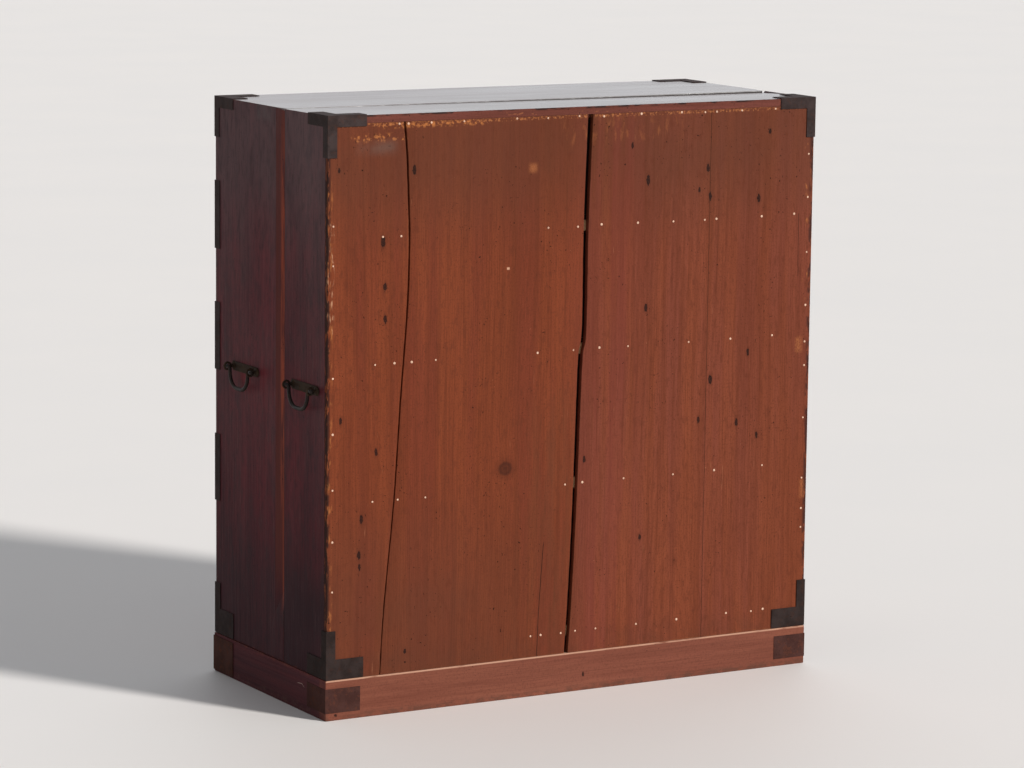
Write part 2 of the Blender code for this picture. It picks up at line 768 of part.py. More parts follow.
def bail_points(eye_spacing, drop):
    """Points of a bail's right half, from its tip down to the middle of its grip."""
    eye = eye_spacing / 2
    tip = eye + EYE_THICKNESS / 2 + BAIL_TIP_LENGTH
    arm = eye - EYE_THICKNESS / 2 - BAIL_EYE_SPACE - BAIL_BEND_RADIUS
    points = [(tip, 0.0)]
    for step in range(BEND_STEPS + 1):
        angle = math.pi / 2 * step / BEND_STEPS
        points.append((
            arm + BAIL_BEND_RADIUS * (1.0 - math.sin(angle)),
            -BAIL_BEND_RADIUS * (1.0 - math.cos(angle)),
        ))
    for step in range(CORNER_STEPS + 1):
        angle = math.pi / 2 * step / CORNER_STEPS
        points.append((
            arm - BAIL_CORNER_RADIUS * (1.0 - math.cos(angle)),
            -drop + BAIL_CORNER_RADIUS * (1.0 - math.sin(angle)),
        ))
    return points


def make_bail(name, pivot, along, eye_spacing, drop):
    """A bar bent into a bail that hangs from its two eyes."""
    half = bail_points(eye_spacing, drop)
    path = [(u, v, 0.0) for u, v in half] + [(-u, v, 0.0) for u, v in reversed(half)]
    matrix = plane_matrix(pivot, along, (0, 0, 1))
    return dress(rod(name, path, BAIL_RADIUS, BAIL_TIP_SWELL_SHARE, matrix), "iron")


def eye_places(pivot, along, eye_spacing):
    """The two points where a bail passes through its eyes."""
    half_step = Vector(along) * eye_spacing / 2
    return [Vector(pivot) + half_step, Vector(pivot) - half_step]


def make_side_handles(end_boards):
    """Two carrying handles on each end of the case."""
    along = (0, 1, 0)
    places = (("front", SIDE_BAIL_FRONT_PLACE), ("rear", SIDE_BAIL_REAR_PLACE))
    half_y = EYE_THICKNESS / 2 + FIT_GAP
    half_z = SHANK_HEIGHT / 2 + FIT_GAP
    sockets = []
    for end_name, side in ENDS:
        far_x = side * (SIDE_X - SIDE_SHANK_DEPTH - FIT_GAP)
        near_x = side * (SIDE_X + CUTTER_OVERRUN)
        for place_name, from_rear in places:
            pivot = (side * (SIDE_X + PIVOT_STANDOFF), REAR_Y - from_rear, SIDE_PIVOT_HEIGHT)
            name = end_name + "_" + place_name
            make_bail("side_bail_" + name, pivot, along, SIDE_BAIL_EYE_SPACING, SIDE_BAIL_DROP)
            make_handle_plate(
                "side_handle_plate_" + name, pivot, along, (side, 0, 0),
                SIDE_BAIL_EYE_SPACING, SIDE_SHANK_DEPTH, False,
            )
            for eye in eye_places(pivot, along, SIDE_BAIL_EYE_SPACING):
                sockets.append((
                    (min(far_x, near_x), eye.y - half_y, eye.z - half_z),
                    (max(far_x, near_x), eye.y + half_y, eye.z + half_z),
                ))
    cutter = as_cutter(boxes("side_socket_cutter", sockets, CUTTER_COLLECTION))
    for board in end_boards:
        cut(board, cutter)


# Drawers


def drawer_bail_pivots(tier):
    """The two handle pivots of a drawer, left first."""
    floor = tier_floor(tier)
    z = floor + TIER_HEIGHTS[tier] / 2 + DRAWER_BAIL_RAISE
    return [(side * DRAWER_BAIL_PLACE, FRONT_Y - PIVOT_STANDOFF, z) for side in (-1, 1)]


def keyhole_ring():
    """The key's way through the top drawer's front, upright with a pointed head."""
    top = TOP_UNDERSIDE_Z - KEYHOLE_DROP
    half = KEYHOLE_WIDTH / 2
    foot = top - KEYHOLE_HEIGHT
    return [(-half, foot), (half, foot), (half, top - half), (0.0, top), (-half, top - half)]


def make_drawer_front(tier, name):
    """A drawer's front board with the holes of its handles' shanks."""
    floor = tier_floor(tier)
    half_width = INNER_X - DRAWER_SIDE_CLEARANCE
    low = floor + DRAWER_FRONT_CLEARANCE
    high = floor + TIER_HEIGHTS[tier] - DRAWER_FRONT_CLEARANCE
    rings = [rectangle_ring(-half_width, low, half_width, high)]
    half_u = EYE_THICKNESS / 2 + FIT_GAP
    half_v = SHANK_HEIGHT / 2 + FIT_GAP
    for pivot in drawer_bail_pivots(tier):
        for eye in eye_places(pivot, (1, 0, 0), DRAWER_BAIL_EYE_SPACING):
            rings.append(rectangle_ring(eye.x - half_u, eye.z - half_v, eye.x + half_u, eye.z + half_v))
    if tier == DRAWER_COUNT - 1:
        rings.append(keyhole_ring())
    middle_y = FRONT_Y + DRAWER_FRONT_THICKNESS / 2
    matrix = plane_matrix((0, middle_y, 0), (1, 0, 0), (0, 0, 1))
    return dress(slab(name + "_front", rings, DRAWER_FRONT_THICKNESS, matrix), "front_lacquer")


def make_drawer_box(tier, name):
    """A drawer's two sides, back and bottom, pegged and glued into a box that its front closes."""
    floor = tier_floor(tier)
    out_x = INNER_X - DRAWER_SIDE_CLEARANCE
    in_x = out_x - DRAWER_WALL_THICKNESS
    near_y = FRONT_Y + DRAWER_FRONT_THICKNESS + FIT_GAP
    far_y = BACK_FACE_Y - DRAWER_REAR_CLEARANCE
    low = floor + FIT_GAP
    high = floor + TIER_HEIGHTS[tier] - DRAWER_WALL_TOP_CLEARANCE
    tray = box(name + "_box", (-out_x, near_y, low), (out_x, far_y, high))
    hollow = as_cutter(box(
        name + "_hollow_cutter",
        (-in_x, near_y - CUTTER_OVERRUN, low + DRAWER_BOTTOM_THICKNESS),
        (in_x, far_y - DRAWER_BACK_THICKNESS, high + CUTTER_OVERRUN),
        CUTTER_COLLECTION,
    ))
    cut(tray, hollow)
    return dress(tray, "inner_wood")


def make_drawer(tier):
    """One drawer with its handles, hung on an empty that slides."""
    name = "drawer_" + str(tier + 1)
    slide = axis_empty(name + "_slide", (0, FRONT_Y, tier_floor(tier)))
    pieces = [make_drawer_front(tier, name), make_drawer_box(tier, name)]
    along = (1, 0, 0)
    spacing = DRAWER_BAIL_EYE_SPACING
    for side_name, pivot in zip(("left", "right"), drawer_bail_pivots(tier)):
        pieces.append(make_bail(name + "_bail_" + side_name, pivot, along, spacing, DRAWER_BAIL_DROP))
        pieces.append(make_handle_plate(
            name + "_handle_plate_" + side_name, pivot, along, (0, -1, 0),
            spacing, DRAWER_FRONT_THICKNESS, True,
        ))
    hang_on(slide, pieces)
    return slide


# Lock


def lock_bolt_middle_y():
    """The bolt's place behind the top drawer's front."""
    return FRONT_Y + DRAWER_FRONT_THICKNESS + FIT_GAP + LOCK_CASE_DEPTH / 2


def lock_case_top():
    """Height of the lock case's top, just under the drawer front's top edge."""
    return TOP_UNDERSIDE_Z - DRAWER_FRONT_CLEARANCE - LOCK_CASE_INSET


def make_lock_case():
    """The iron case behind the drawer's front, open for the key and the bolt."""
    middle_y = lock_bolt_middle_y()
    near_y = middle_y - LOCK_CASE_DEPTH / 2
    far_y = middle_y + LOCK_CASE_DEPTH / 2
    high = lock_case_top()
    low = high - LOCK_CASE_HEIGHT
    half = LOCK_CASE_WIDTH / 2
    wall = LOCK_CASE_WALL
    case = box("lock_case", (-half, near_y, low), (half, far_y, high))
    hollow = as_cutter(box(
        "lock_hollow_cutter",
        (-half + wall, near_y + wall, low + wall), (half - wall, far_y - wall, high - wall),
        CUTTER_COLLECTION,
    ))
    bolt_x = BOLT_WIDTH / 2 + BOLT_CLEARANCE
    bolt_y = BOLT_THICKNESS / 2 + BOLT_CLEARANCE
    mortise_top = high + BOLT_TRAVEL + BOLT_CLEARANCE
    bolt_way = as_cutter(box(
        "lock_bolt_way_cutter",
        (-bolt_x, middle_y - bolt_y, high - wall - BOLT_CLEARANCE),
        (bolt_x, middle_y + bolt_y, mortise_top),
        CUTTER_COLLECTION,
    ))
    key_reach = wall + FIT_GAP
    key_matrix = plane_matrix((0, near_y + key_reach / 2 - FIT_GAP, 0), (1, 0, 0), (0, 0, 1))
    key_rings = [keyhole_ring()]
    key_way = as_cutter(slab(
        "lock_key_way_cutter", key_rings, key_reach + FIT_GAP, key_matrix, CUTTER_COLLECTION,
    ))
    cut(case, hollow)
    cut(case, bolt_way)
    cut(case, key_way)
    return dress(case, "iron"), bolt_way


def make_lock_bolt():
    """The bolt, with a shoulder that stops it inside the case."""
    high = lock_case_top()
    low = high - BOLT_LENGTH
    stem_x = BOLT_WIDTH / 2
    shoulder_x = BOLT_SHOULDER_WIDTH / 2
    shoulder_z = high - LOCK_CASE_WALL - BOLT_TRAVEL - FIT_GAP
    outline = [
        (-shoulder_x, low), (shoulder_x, low), (shoulder_x, shoulder_z), (stem_x, shoulder_z),
        (stem_x, high), (-stem_x, high), (-stem_x, shoulder_z), (-shoulder_x, shoulder_z),
    ]
    matrix = plane_matrix((0, lock_bolt_middle_y(), 0), (1, 0, 0), (0, 0, 1))
    return dress(slab("lock_bolt", [outline], BOLT_THICKNESS, matrix), "iron")


def make_lock(top_front, top_drawer_slide):
    """The top drawer's lock, and the mortise that its bolt rises into."""
    case, bolt_way = make_lock_case()
    cut(top_front, bolt_way)
    hang_on(top_drawer_slide, [case, make_lock_bolt()])


def build_chest():
    """Make every piece of the chest."""
    clear_scene()
    make_plinth()
    ends = make_end_boards()
    top_front = make_top_boards()
    cut_worn_edges([ends[0], ends[2]], top_front)
    make_shelves()
    cut_housings(ends)
    make_front_bottom_rail()
    make_back_boards()
    make_ironwork()
    make_side_handles(ends)
    slides = [make_drawer(tier) for tier in range(DRAWER_COUNT)]
    make_lock(top_front, slides[-1])
    bpy.context.view_layer.update()


build_chest()
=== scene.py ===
"""Looks of a four-drawer tansu chest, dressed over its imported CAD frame.

Metres, +Z up. The drawers face -Y and the boarded back faces +Y. Right is +X, as seen from the front.
Every mesh is placed in world coordinates at rest, so a texture's object coordinates are world ones.
"""

import json
import logging
import math
import random
from dataclasses import dataclass
from dataclasses import field
from dataclasses import replace
from enum import Enum
from typing import Callable
from typing import Optional
from typing import Sequence
from typing import Union

import bmesh
import bpy
from mathutils import Matrix
from mathutils import Vector
from mathutils import noise

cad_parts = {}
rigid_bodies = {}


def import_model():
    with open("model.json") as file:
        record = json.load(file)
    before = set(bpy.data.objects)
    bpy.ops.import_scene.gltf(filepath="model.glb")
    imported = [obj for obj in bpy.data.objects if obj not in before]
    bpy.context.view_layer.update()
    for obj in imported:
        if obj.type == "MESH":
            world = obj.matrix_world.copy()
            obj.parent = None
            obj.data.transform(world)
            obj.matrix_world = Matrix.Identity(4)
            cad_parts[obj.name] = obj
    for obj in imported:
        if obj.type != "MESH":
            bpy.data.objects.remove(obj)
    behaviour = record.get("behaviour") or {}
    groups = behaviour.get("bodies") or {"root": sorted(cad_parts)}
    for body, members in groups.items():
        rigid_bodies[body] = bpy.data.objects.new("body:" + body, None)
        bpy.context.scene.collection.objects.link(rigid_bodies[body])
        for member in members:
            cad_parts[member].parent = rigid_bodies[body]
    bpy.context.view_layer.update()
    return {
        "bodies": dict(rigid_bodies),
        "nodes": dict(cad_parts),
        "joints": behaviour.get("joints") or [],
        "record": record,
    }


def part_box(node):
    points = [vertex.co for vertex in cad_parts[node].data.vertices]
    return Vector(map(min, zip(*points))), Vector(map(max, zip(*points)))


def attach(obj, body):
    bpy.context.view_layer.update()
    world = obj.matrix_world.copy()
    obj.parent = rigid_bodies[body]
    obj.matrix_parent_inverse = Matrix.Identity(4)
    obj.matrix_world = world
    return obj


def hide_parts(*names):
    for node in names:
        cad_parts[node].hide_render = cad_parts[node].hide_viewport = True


LOG = logging.getLogger("tansu")

Colour = tuple[float, float, float]
Place = tuple[float, float, float]
Number = Union[float, "Signal"]
Ring = list[tuple[float, float]]

WHITE: Colour = (1.0, 1.0, 1.0)
BLACK: Colour = (0.0, 0.0, 0.0)
WELD_DISTANCE = 0.00001
BEVEL_ANGLE = math.radians(30.0)
SMOOTH_ANGLE = math.radians(40.0)
IRON_THICKNESS = 0.0012
AIR = 0.0003


class Axis(Enum):
    """One of the three axes of the chest."""

    X = 0
    Y = 1
    Z = 2


class Slot(Enum):
    """The record's material slots."""

    END_LACQUER = "end_lacquer"
    TOP_LACQUER = "top_lacquer"
    FRONT_LACQUER = "front_lacquer"
    BACK_CEDAR = "back_cedar"
    INNER_WOOD = "inner_wood"
    IRON = "iron"


# Shader maths


class Signal:
    """A number that changes over a surface. Arithmetic on it adds Math nodes."""

    def __init__(self, sheet: "NodeSheet", socket: bpy.types.NodeSocket) -> None:
        """Wrap an output socket of a sheet's node."""
        self.sheet = sheet
        self.socket = socket

    def _math(self, operation: str, *operands: Number) -> "Signal":
        """Add a Math node.

        Args:
            operation: the node's operation.
            operands: its inputs in order.

        Returns:
            The node's result.
        """
        node = self.sheet.node("ShaderNodeMath", {"operation": operation}, dict(enumerate(operands)))
        return Signal(self.sheet, node.outputs[0])

    def __add__(self, other: Number) -> "Signal":
        """Sum."""
        return self._math("ADD", self, other)

    def __radd__(self, other: Number) -> "Signal":
        """Sum with a number on the left."""
        return self._math("ADD", other, self)

    def __sub__(self, other: Number) -> "Signal":
        """Difference."""
        return self._math("SUBTRACT", self, other)

    def __rsub__(self, other: Number) -> "Signal":
        """Difference from a number on the left."""
        return self._math("SUBTRACT", other, self)

    def __mul__(self, other: Number) -> "Signal":
        """Product."""
        return self._math("MULTIPLY", self, other)

    def __rmul__(self, other: Number) -> "Signal":
        """Product with a number on the left."""
        return self._math("MULTIPLY", other, self)

    def __truediv__(self, other: Number) -> "Signal":
        """Quotient."""
        return self._math("DIVIDE", self, other)

    def __pow__(self, other: Number) -> "Signal":
        """Power."""
        return self._math("POWER", self, other)

    def __abs__(self) -> "Signal":
        """Size without its sign."""
        return self._math("ABSOLUTE", self)

    def root(self) -> "Signal":
        """Square root."""
        return self._math("SQRT", self)

    def fract(self) -> "Signal":
        """What is left after the whole number."""
        return self._math("FRACT", self)

    def sine(self) -> "Signal":
        """Sine."""
        return self._math("SINE", self)

    def least(self, other: Number) -> "Signal":
        """The smaller of the two."""
        return self._math("MINIMUM", self, other)

    def most(self, other: Number) -> "Signal":
        """The larger of the two."""
        return self._math("MAXIMUM", self, other)

    def rise(self, low: float, high: float) -> "Signal":
        """Go smoothly from 0 at low to 1 at high.

        Args:
            low: where it starts to rise.
            high: where it is full.

        Returns:
            The eased share.
        """
        settings = {"interpolation_type": "SMOOTHSTEP", "clamp": True}
        node = self.sheet.node("ShaderNodeMapRange", settings, {0: self, 1: low, 2: high, 3: 0.0, 4: 1.0})
        return Signal(self.sheet, node.outputs[0])

    def fall(self, low: float, high: float) -> "Signal":
        """Go smoothly from 1 at low to 0 at high."""
        return 1.0 - self.rise(low, high)


Paint = Union[Colour, bpy.types.NodeSocket]


class NodeSheet:
    """The node tree of one material."""

    def __init__(self, name: str) -> None:
        """Start a material with a bare shader."""
        self.material = bpy.data.materials.new(name)
        self.material.use_nodes = True
        self.tree = self.material.node_tree
        self.shader = self.tree.nodes["Principled BSDF"]
        self._axes: Optional[tuple[Signal, Signal, Signal]] = None
        self._place: Optional[bpy.types.NodeSocket] = None

    def node(self, kind: str, settings: dict, inputs: dict) -> bpy.types.Node:
        """Add a node.

        Args:
            kind: Blender's name of the node type.
            settings: the node's own properties.
            inputs: value or link of each socket, by index or name.

        Returns:
            The new node.
        """
        made = self.tree.nodes.new(kind)
        for key, value in settings.items():
            setattr(made, key, value)
        for key, value in inputs.items():
            self.feed(made.inputs[key], value)
        return made

    def feed(self, socket: bpy.types.NodeSocket, value: object) -> None:
        """Set a socket or link it.

        Args:
            socket: the input.
            value: a signal, an output socket, a number or a colour.
        """
        if isinstance(value, Signal):
            value = value.socket
        if isinstance(value, bpy.types.NodeSocket):
            self.tree.links.new(value, socket)
        elif isinstance(value, tuple) and socket.type == "RGBA":
            socket.default_value = (*value, 1.0)
        else:
            socket.default_value = value

    def place(self) -> bpy.types.NodeSocket:
        """The point being shaded, in the chest's coordinates."""
        if self._place is None:
            self._place = self.node("ShaderNodeTexCoord", {}, {}).outputs["Object"]
        return self._place

    def axes(self) -> tuple[Signal, Signal, Signal]:
        """The point's x, y and z."""
        if self._axes is None:
            split = self.node("ShaderNodeSeparateXYZ", {}, {0: self.place()})
            self._axes = tuple(Signal(self, split.outputs[axis]) for axis in range(3))
        return self._axes

    def vector(self, x: Number, y: Number, z: Number) -> bpy.types.NodeSocket:
        """A vector of three numbers."""
        return self.node("ShaderNodeCombineXYZ", {}, {0: x, 1: y, 2: z}).outputs[0]

    def noise(self, vector: object, scale: float, detail: float = 2.0, grit: float = 0.5) -> Signal:
        """Cloudy noise between 0 and 1.

        Args:
            vector: where it is read.
            scale: how many clouds there are to a unit.
            detail: how many finer layers it has.
            grit: how strong those layers are.

        Returns:
            The noise's value.
        """
        inputs = {"Vector": vector, "Scale": scale, "Detail": detail, "Roughness": grit}
        return Signal(self, self.node("ShaderNodeTexNoise", {}, inputs).outputs["Fac"])

    def cells(self, vector: object, scale: float, feature: str = "F1") -> Signal:
        """Distance to the nearest of scattered points."""
        inputs = {"Vector": vector, "Scale": scale}
        made = self.node("ShaderNodeTexVoronoi", {"feature": feature}, inputs)
        return Signal(self, made.outputs["Distance"])

    def distance(self, vector: object, point: Place) -> Signal:
        """How far a vector is from a fixed point."""
        made = self.node("ShaderNodeVectorMath", {"operation": "DISTANCE"}, {0: vector, 1: point})
        return Signal(self, made.outputs["Value"])

    def mix(self, share: Number, first: Paint, second: Paint, blend: str = "MIX") -> bpy.types.NodeSocket:
        """Blend two colours.

        Args:
            share: how much of the second colour shows.
            first: colour at share 0.
            second: colour at share 1.
            blend: how they are put together.

        Returns:
            The blended colour.
        """
        settings = {"data_type": "RGBA", "blend_type": blend, "clamp_factor": True}
        return self.node("ShaderNodeMix", settings, {0: share, 6: first, 7: second}).outputs[2]

    def bump(self, height: Signal, distance: float, share: float) -> bpy.types.NodeSocket:
        """Turn a height into a slope of the surface.

        Args:
            height: height from 0 to 1.
            distance: what a height of 1 is worth, in metres.
            share: how strongly it shows.

        Returns:
            The bent normal.
        """
        inputs = {"Height": height, "Distance": distance, "Strength": share}
        return self.node("ShaderNodeBump", {}, inputs).outputs["Normal"]

    def finish(self, colour: Paint, roughness: Number, metallic: Number, normal: object) -> bpy.types.Material:
        """Feed the shader and hand the material over.

        Args:
            colour: base colour.
            roughness: roughness.
            metallic: metallic share.
            normal: the bent normal.

        Returns:
            The finished material.
        """
        self.feed(self.shader.inputs["Base Color"], colour)
        self.feed(self.shader.inputs["Roughness"], roughness)
        self.feed(self.shader.inputs["Metallic"], metallic)
        self.feed(self.shader.inputs["Normal"], normal)
        return self.material


# Finishes


@dataclass(frozen=True)
class Knot:
    """A knot on a board's face, at a place across and along it."""

    across: float
    along: float
    radius: float
    stretch: float = 2.3
    share: float = 1.0


@dataclass(frozen=True)
class Patch:
    """A soft-edged area of another colour, broken up by noise."""

    spans: tuple[Optional[tuple[float, float]], ...]
    colour: Colour
    share: float = 1.0
    soft: Union[float, Place] = 0.002
    grain_stretch: float = 1.0
    scale: float = 300.0
    cover: float = 0.5
    spread: float = 0.1


@dataclass(frozen=True)
class Hairline:
    """A fine crack or glued joint on a face: places across it by places along it."""

    points: tuple[tuple[float, float], ...]
    width: float
    share: float
    colour: Colour = (0.012, 0.005, 0.003)


@dataclass(frozen=True)
class Board:
    """Where a board lies and how it was cut from its tree."""

    low: Place
    high: Place
    along: Axis
    across: Axis
    depth: Axis
    seed: float
    pith_across: float = 0.0
    pith_depth: float = -0.08
    pith_lean: float = 0.05
    knots: tuple[Knot, ...] = ()
    patches: tuple[Patch, ...] = ()
    hairlines: tuple[Hairline, ...] = ()

    def middle(self, axis: Axis) -> float:
        """Middle of the board along one axis."""
        return (self.low[axis.value] + self.high[axis.value]) / 2

    def directions(self, sheet: NodeSheet) -> tuple[Signal, Signal, Signal]:
        """The point's place along, across and through the board."""
        axes = sheet.axes()
        return axes[self.along.value], axes[self.across.value], axes[self.depth.value]

    def edge_distance(self, sheet: NodeSheet) -> Signal:
        """How far a point of a face is from the nearest arris of the board's box."""
        reach = []
        for axis, place in enumerate(sheet.axes()):
            reach.append((place - self.low[axis]).least(self.high[axis] - place))
        first, second, third = reach
        return first.least(second).most(first.most(second).least(third))


@dataclass(frozen=True)
class Wood:
    """A board's wood, bare, stained or lacquered."""

    early: Colour
    late: Colour
    stain: Colour
    zone: Colour
    worn: Colour
    knot: Colour
    gloss_roughness: float
    dull_roughness: float
    ring_width: float = 0.0042
    ring_share: float = 0.24
    fibre_share: float = 0.30
    streak_share: float = 0.35
    stain_share: float = 0.45
    zone_share: float = 0.50
    sway: float = 0.030
    wear_width: float = 0.0022
    wear_share: float = 0.6
    scratch_share: float = 0.35
    scratch: Colour = (0.34, 0.16, 0.10)
    fleck_share: float = 0.5
    grit_share: float = 0.20
    bump_share: float = 0.5
    specular: float = 0.5
    coat: float = 0.0
    coat_roughness: float = 0.25

    def grain(self, sheet: NodeSheet, board: Board) -> tuple[Signal, Signal, Signal]:
        """The point's place along, across and through the grain, which sways a little.

        Args:
            sheet: the material's nodes.
            board: the board.

        Returns:
            The three places.
        """
        along, across, depth = board.directions(sheet)
        slow = sheet.vector(along * 1.3 + board.seed, across * 3.1, board.seed)
        return along, (sheet.noise(slow, 1.0, 2.0) - 0.5) * self.sway + across, depth

    def rings(
        self, sheet: NodeSheet, board: Board, grain: tuple[Signal, Signal, Signal], pull: Optional[Signal],
    ) -> Signal:
        """Late wood of the year rings where the face cuts them.

        Args:
            sheet: the material's nodes.
            board: the board.
            grain: place along, across and through the grain.
            pull: extra turn that knots give the rings.

        Returns:
            1 on the dark lines.
        """
        along, across, depth = grain
        seed = board.seed
        drift = sheet.noise(sheet.vector(along * 0.9 - seed, seed, across * 0.4), 1.0, 1.0) - 0.5
        side = across - board.pith_across
        lean = (along - board.middle(board.along)) * board.pith_lean
        behind = depth - board.pith_depth + lean + drift * (2 * self.sway)
        turns = (side * side + behind * behind).root() / self.ring_width
        ragged = sheet.noise(sheet.vector(along * 9.0, across * 60.0, seed), 1.0, 2.0)
        turns = turns + ragged * 1.3
        if pull is not None:
            turns = turns + pull
        saw = turns.fract()
        fading = sheet.noise(sheet.vector(along * 2.1 + seed, across * 9.0, seed), 1.0, 2.0).rise(0.36, 0.62)
        return (saw ** 2.0) * saw.fall(0.86, 1.0) * fading

    def streaks(self, sheet: NodeSheet, board: Board, grain: tuple[Signal, Signal, Signal]) -> tuple[Signal, ...]:
        """Streaks along the grain, from hair-fine to a hand wide.

        Args:
            sheet: the material's nodes.
            board: the board.
            grain: place along, across and through the grain.

        Returns:
            Hair-fine, narrow, broad and widest streaks, each from 0 to 1.
        """
        along, across, depth = grain
        found = []
        for run, spacing in ((22.0, 900.0), (4.5, 290.0), (2.2, 85.0), (0.9, 14.0)):
            drawn = sheet.vector(along * run + board.seed, across * spacing, depth * spacing)
            found.append(sheet.noise(drawn, 1.0, 3.0, 0.6))
        return tuple(found)

    def knots(self, sheet: NodeSheet, board: Board) -> tuple[Optional[Signal], Optional[Signal]]:
        """Where the board's knots are.

        Args:
            sheet: the material's nodes.
            board: the board.

        Returns:
            Distance to the nearest knot in knot radii, and how dark the knots lie, or nothing without knots.
        """
        nearest = None
        dark = None
        if board.knots:
            along, across, _ = board.directions(sheet)
            fuzz = (sheet.noise(sheet.place(), 210.0, 3.0, 0.6) - 0.5) * 0.0050
            flats = {}
            for knot in board.knots:
                if knot.stretch not in flats:
                    flats[knot.stretch] = sheet.vector(across, along / knot.stretch, 0.0)
                spot = (knot.across, knot.along / knot.stretch, 0.0)
                reach = (sheet.distance(flats[knot.stretch], spot) + fuzz) / knot.radius
                mark = reach.fall(0.86, 1.18) * knot.share
                nearest = reach if nearest is None else nearest.least(reach)
                dark = mark if dark is None else dark.most(mark)
        return nearest, dark

    def painted(self, sheet: NodeSheet, board: Board, paint: Paint) -> Paint:
        """Lay the board's patches and hairlines over its colour.

        Args:
            sheet: the material's nodes.
            board: the board.
            paint: colour so far.

        Returns:
            The colour with them.
        """
        axes = sheet.axes()
        along, across, _ = board.directions(sheet)
        for patch in board.patches:
            mask: Number = patch.share
            softness = patch.soft if isinstance(patch.soft, tuple) else (patch.soft,) * 3
            for place, span, soft in zip(axes, patch.spans, softness):
                if span is not None:
                    mask = place.rise(span[0] - soft, span[0] + soft) * mask
                    mask = mask * place.fall(span[1] - soft, span[1] + soft)
            stretched = [place * patch.scale for place in axes]
            stretched[board.along.value] = axes[board.along.value] * (patch.scale * patch.grain_stretch)
            cloud = sheet.noise(sheet.vector(*stretched), 1.0, 3.0, 0.6)
            threshold = 1.0 - patch.cover
            mask = mask * cloud.rise(threshold - patch.spread, threshold + patch.spread)
            paint = sheet.mix(mask, paint, patch.colour)
        for line in board.hairlines:
            shake = (sheet.noise(sheet.vector(along * 60.0, board.seed, 0.0), 1.0, 2.0) - 0.5) * 0.0016
            course = self.course(sheet, along, line) + shake
            inside = along.rise(line.points[0][1] - 0.004, line.points[0][1] + 0.004)
            inside = inside * along.fall(line.points[-1][1] - 0.004, line.points[-1][1] + 0.004)
            mask = abs(across - course).fall(line.width * 0.4, line.width) * inside * line.share
            paint = sheet.mix(mask, paint, line.colour)
        return paint

    def course(self, sheet: NodeSheet, along: Signal, line: Hairline) -> Signal:
        """A hairline's place across the face, joined straight between its points.

        Args:
            sheet: the material's nodes.
            along: place along the grain.
            line: the hairline, its points in order along the grain.

        Returns:
            The place across.
        """
        course: Number = line.points[0][0]
        for (here, low), (there, high) in zip(line.points, line.points[1:]):
            settings = {"clamp": True}
            inputs = {0: along, 1: low, 2: high, 3: 0.0, 4: there - here}
            step = Signal(sheet, sheet.node("ShaderNodeMapRange", settings, inputs).outputs[0])
            course = step + course
        return course

    def material(self, name: str, board: Board) -> bpy.types.Material:
        """Make the wood's material for one board.

        Args:
            name: the material's name.
            board: the board.

        Returns:
            The material.
        """
        sheet = NodeSheet(name)
        nearest, dark = self.knots(sheet, board)
        pull = None
        if nearest is not None:
            pull = nearest.fall(0.6, 6.0) * 2.2
        grain = self.grain(sheet, board)
        rings = self.rings(sheet, board, grain, pull)
        fine, narrow, broad, zone = self.streaks(sheet, board, grain)
        place = sheet.place()
        along, across, depth = grain
        drawn = sheet.vector(along * 1.4 + board.seed, across * 5.0, depth * 5.0)
        cloud = sheet.noise(drawn, 1.0, 4.0, 0.55)
        paint = sheet.mix(zone.rise(0.40, 0.62) * self.zone_share, self.early, self.zone)
        paint = sheet.mix(broad.rise(0.40, 0.70) * self.stain_share, paint, self.stain)
        paint = sheet.mix(rings * self.ring_share, paint, self.late)
        paint = sheet.mix(narrow.rise(0.46, 0.74) * self.streak_share, paint, self.late)
        paint = sheet.mix(fine.rise(0.42, 0.70) * self.fibre_share, paint, self.late)
        paint = sheet.mix(cloud.rise(0.45, 0.75) * self.stain_share, paint, self.stain)
        if nearest is not None:
            paint = sheet.mix(nearest.fall(1.0, 2.2) * 0.35, paint, self.late)
        edge = board.edge_distance(sheet)
        nibble = edge + (sheet.noise(place, 90.0, 3.0, 0.6) - 0.5) * (3.2 * self.wear_width)
        wear = nibble.fall(0.0, self.wear_width) * self.wear_share
        paint = sheet.mix(wear, paint, self.worn)
        grit = sheet.noise(place, 310.0, 2.0, 0.6)
        paint = sheet.mix(grit.rise(0.50, 0.66) * self.grit_share, paint, self.late)
        paint = self.painted(sheet, board, paint)
        if nearest is not None:
            ring_marks = ((nearest * 11.0).sine() * 0.5 + 0.5) * 0.25 + 0.75
            paint = sheet.mix(dark * ring_marks, paint, self.knot)
        stroke = sheet.vector(along * 16.0 + across * 9.0, across * 240.0, depth * 240.0 + board.seed)
        lines = sheet.noise(stroke, 1.0, 2.0, 0.7).rise(0.70, 0.78)
        gathered = lines * sheet.noise(place, 9.0, 2.0).rise(0.46, 0.66)
        paint = sheet.mix(gathered * self.scratch_share, paint, self.scratch)
        chips = sheet.noise(place, 170.0, 3.0, 0.7).rise(0.72, 0.76) * sheet.noise(place, 7.0, 2.0).rise(0.50, 0.66)
        paint = sheet.mix(chips * self.scratch_share, paint, self.scratch)
        flecks = sheet.noise(place, 240.0, 2.0, 0.6).rise(0.68, 0.73)
        paint = sheet.mix(flecks * sheet.noise(place, 12.0, 1.0).rise(0.42, 0.62) * self.fleck_share, paint, BLACK)
        spread = self.dull_roughness - self.gloss_roughness
        dull = cloud * 0.6 + narrow * 0.4
        roughness = dull.rise(0.30, 0.70) * spread + self.gloss_roughness + wear * 0.15
        height = fine * 0.50 + narrow * 0.30 + broad * 0.25 + rings * 0.30 - gathered * 0.4
        if dark is not None:
            height = height - dark * 0.4
        normal = sheet.bump(height, 0.0004, self.bump_share)
        sheet.shader.inputs["Specular IOR Level"].default_value = self.specular
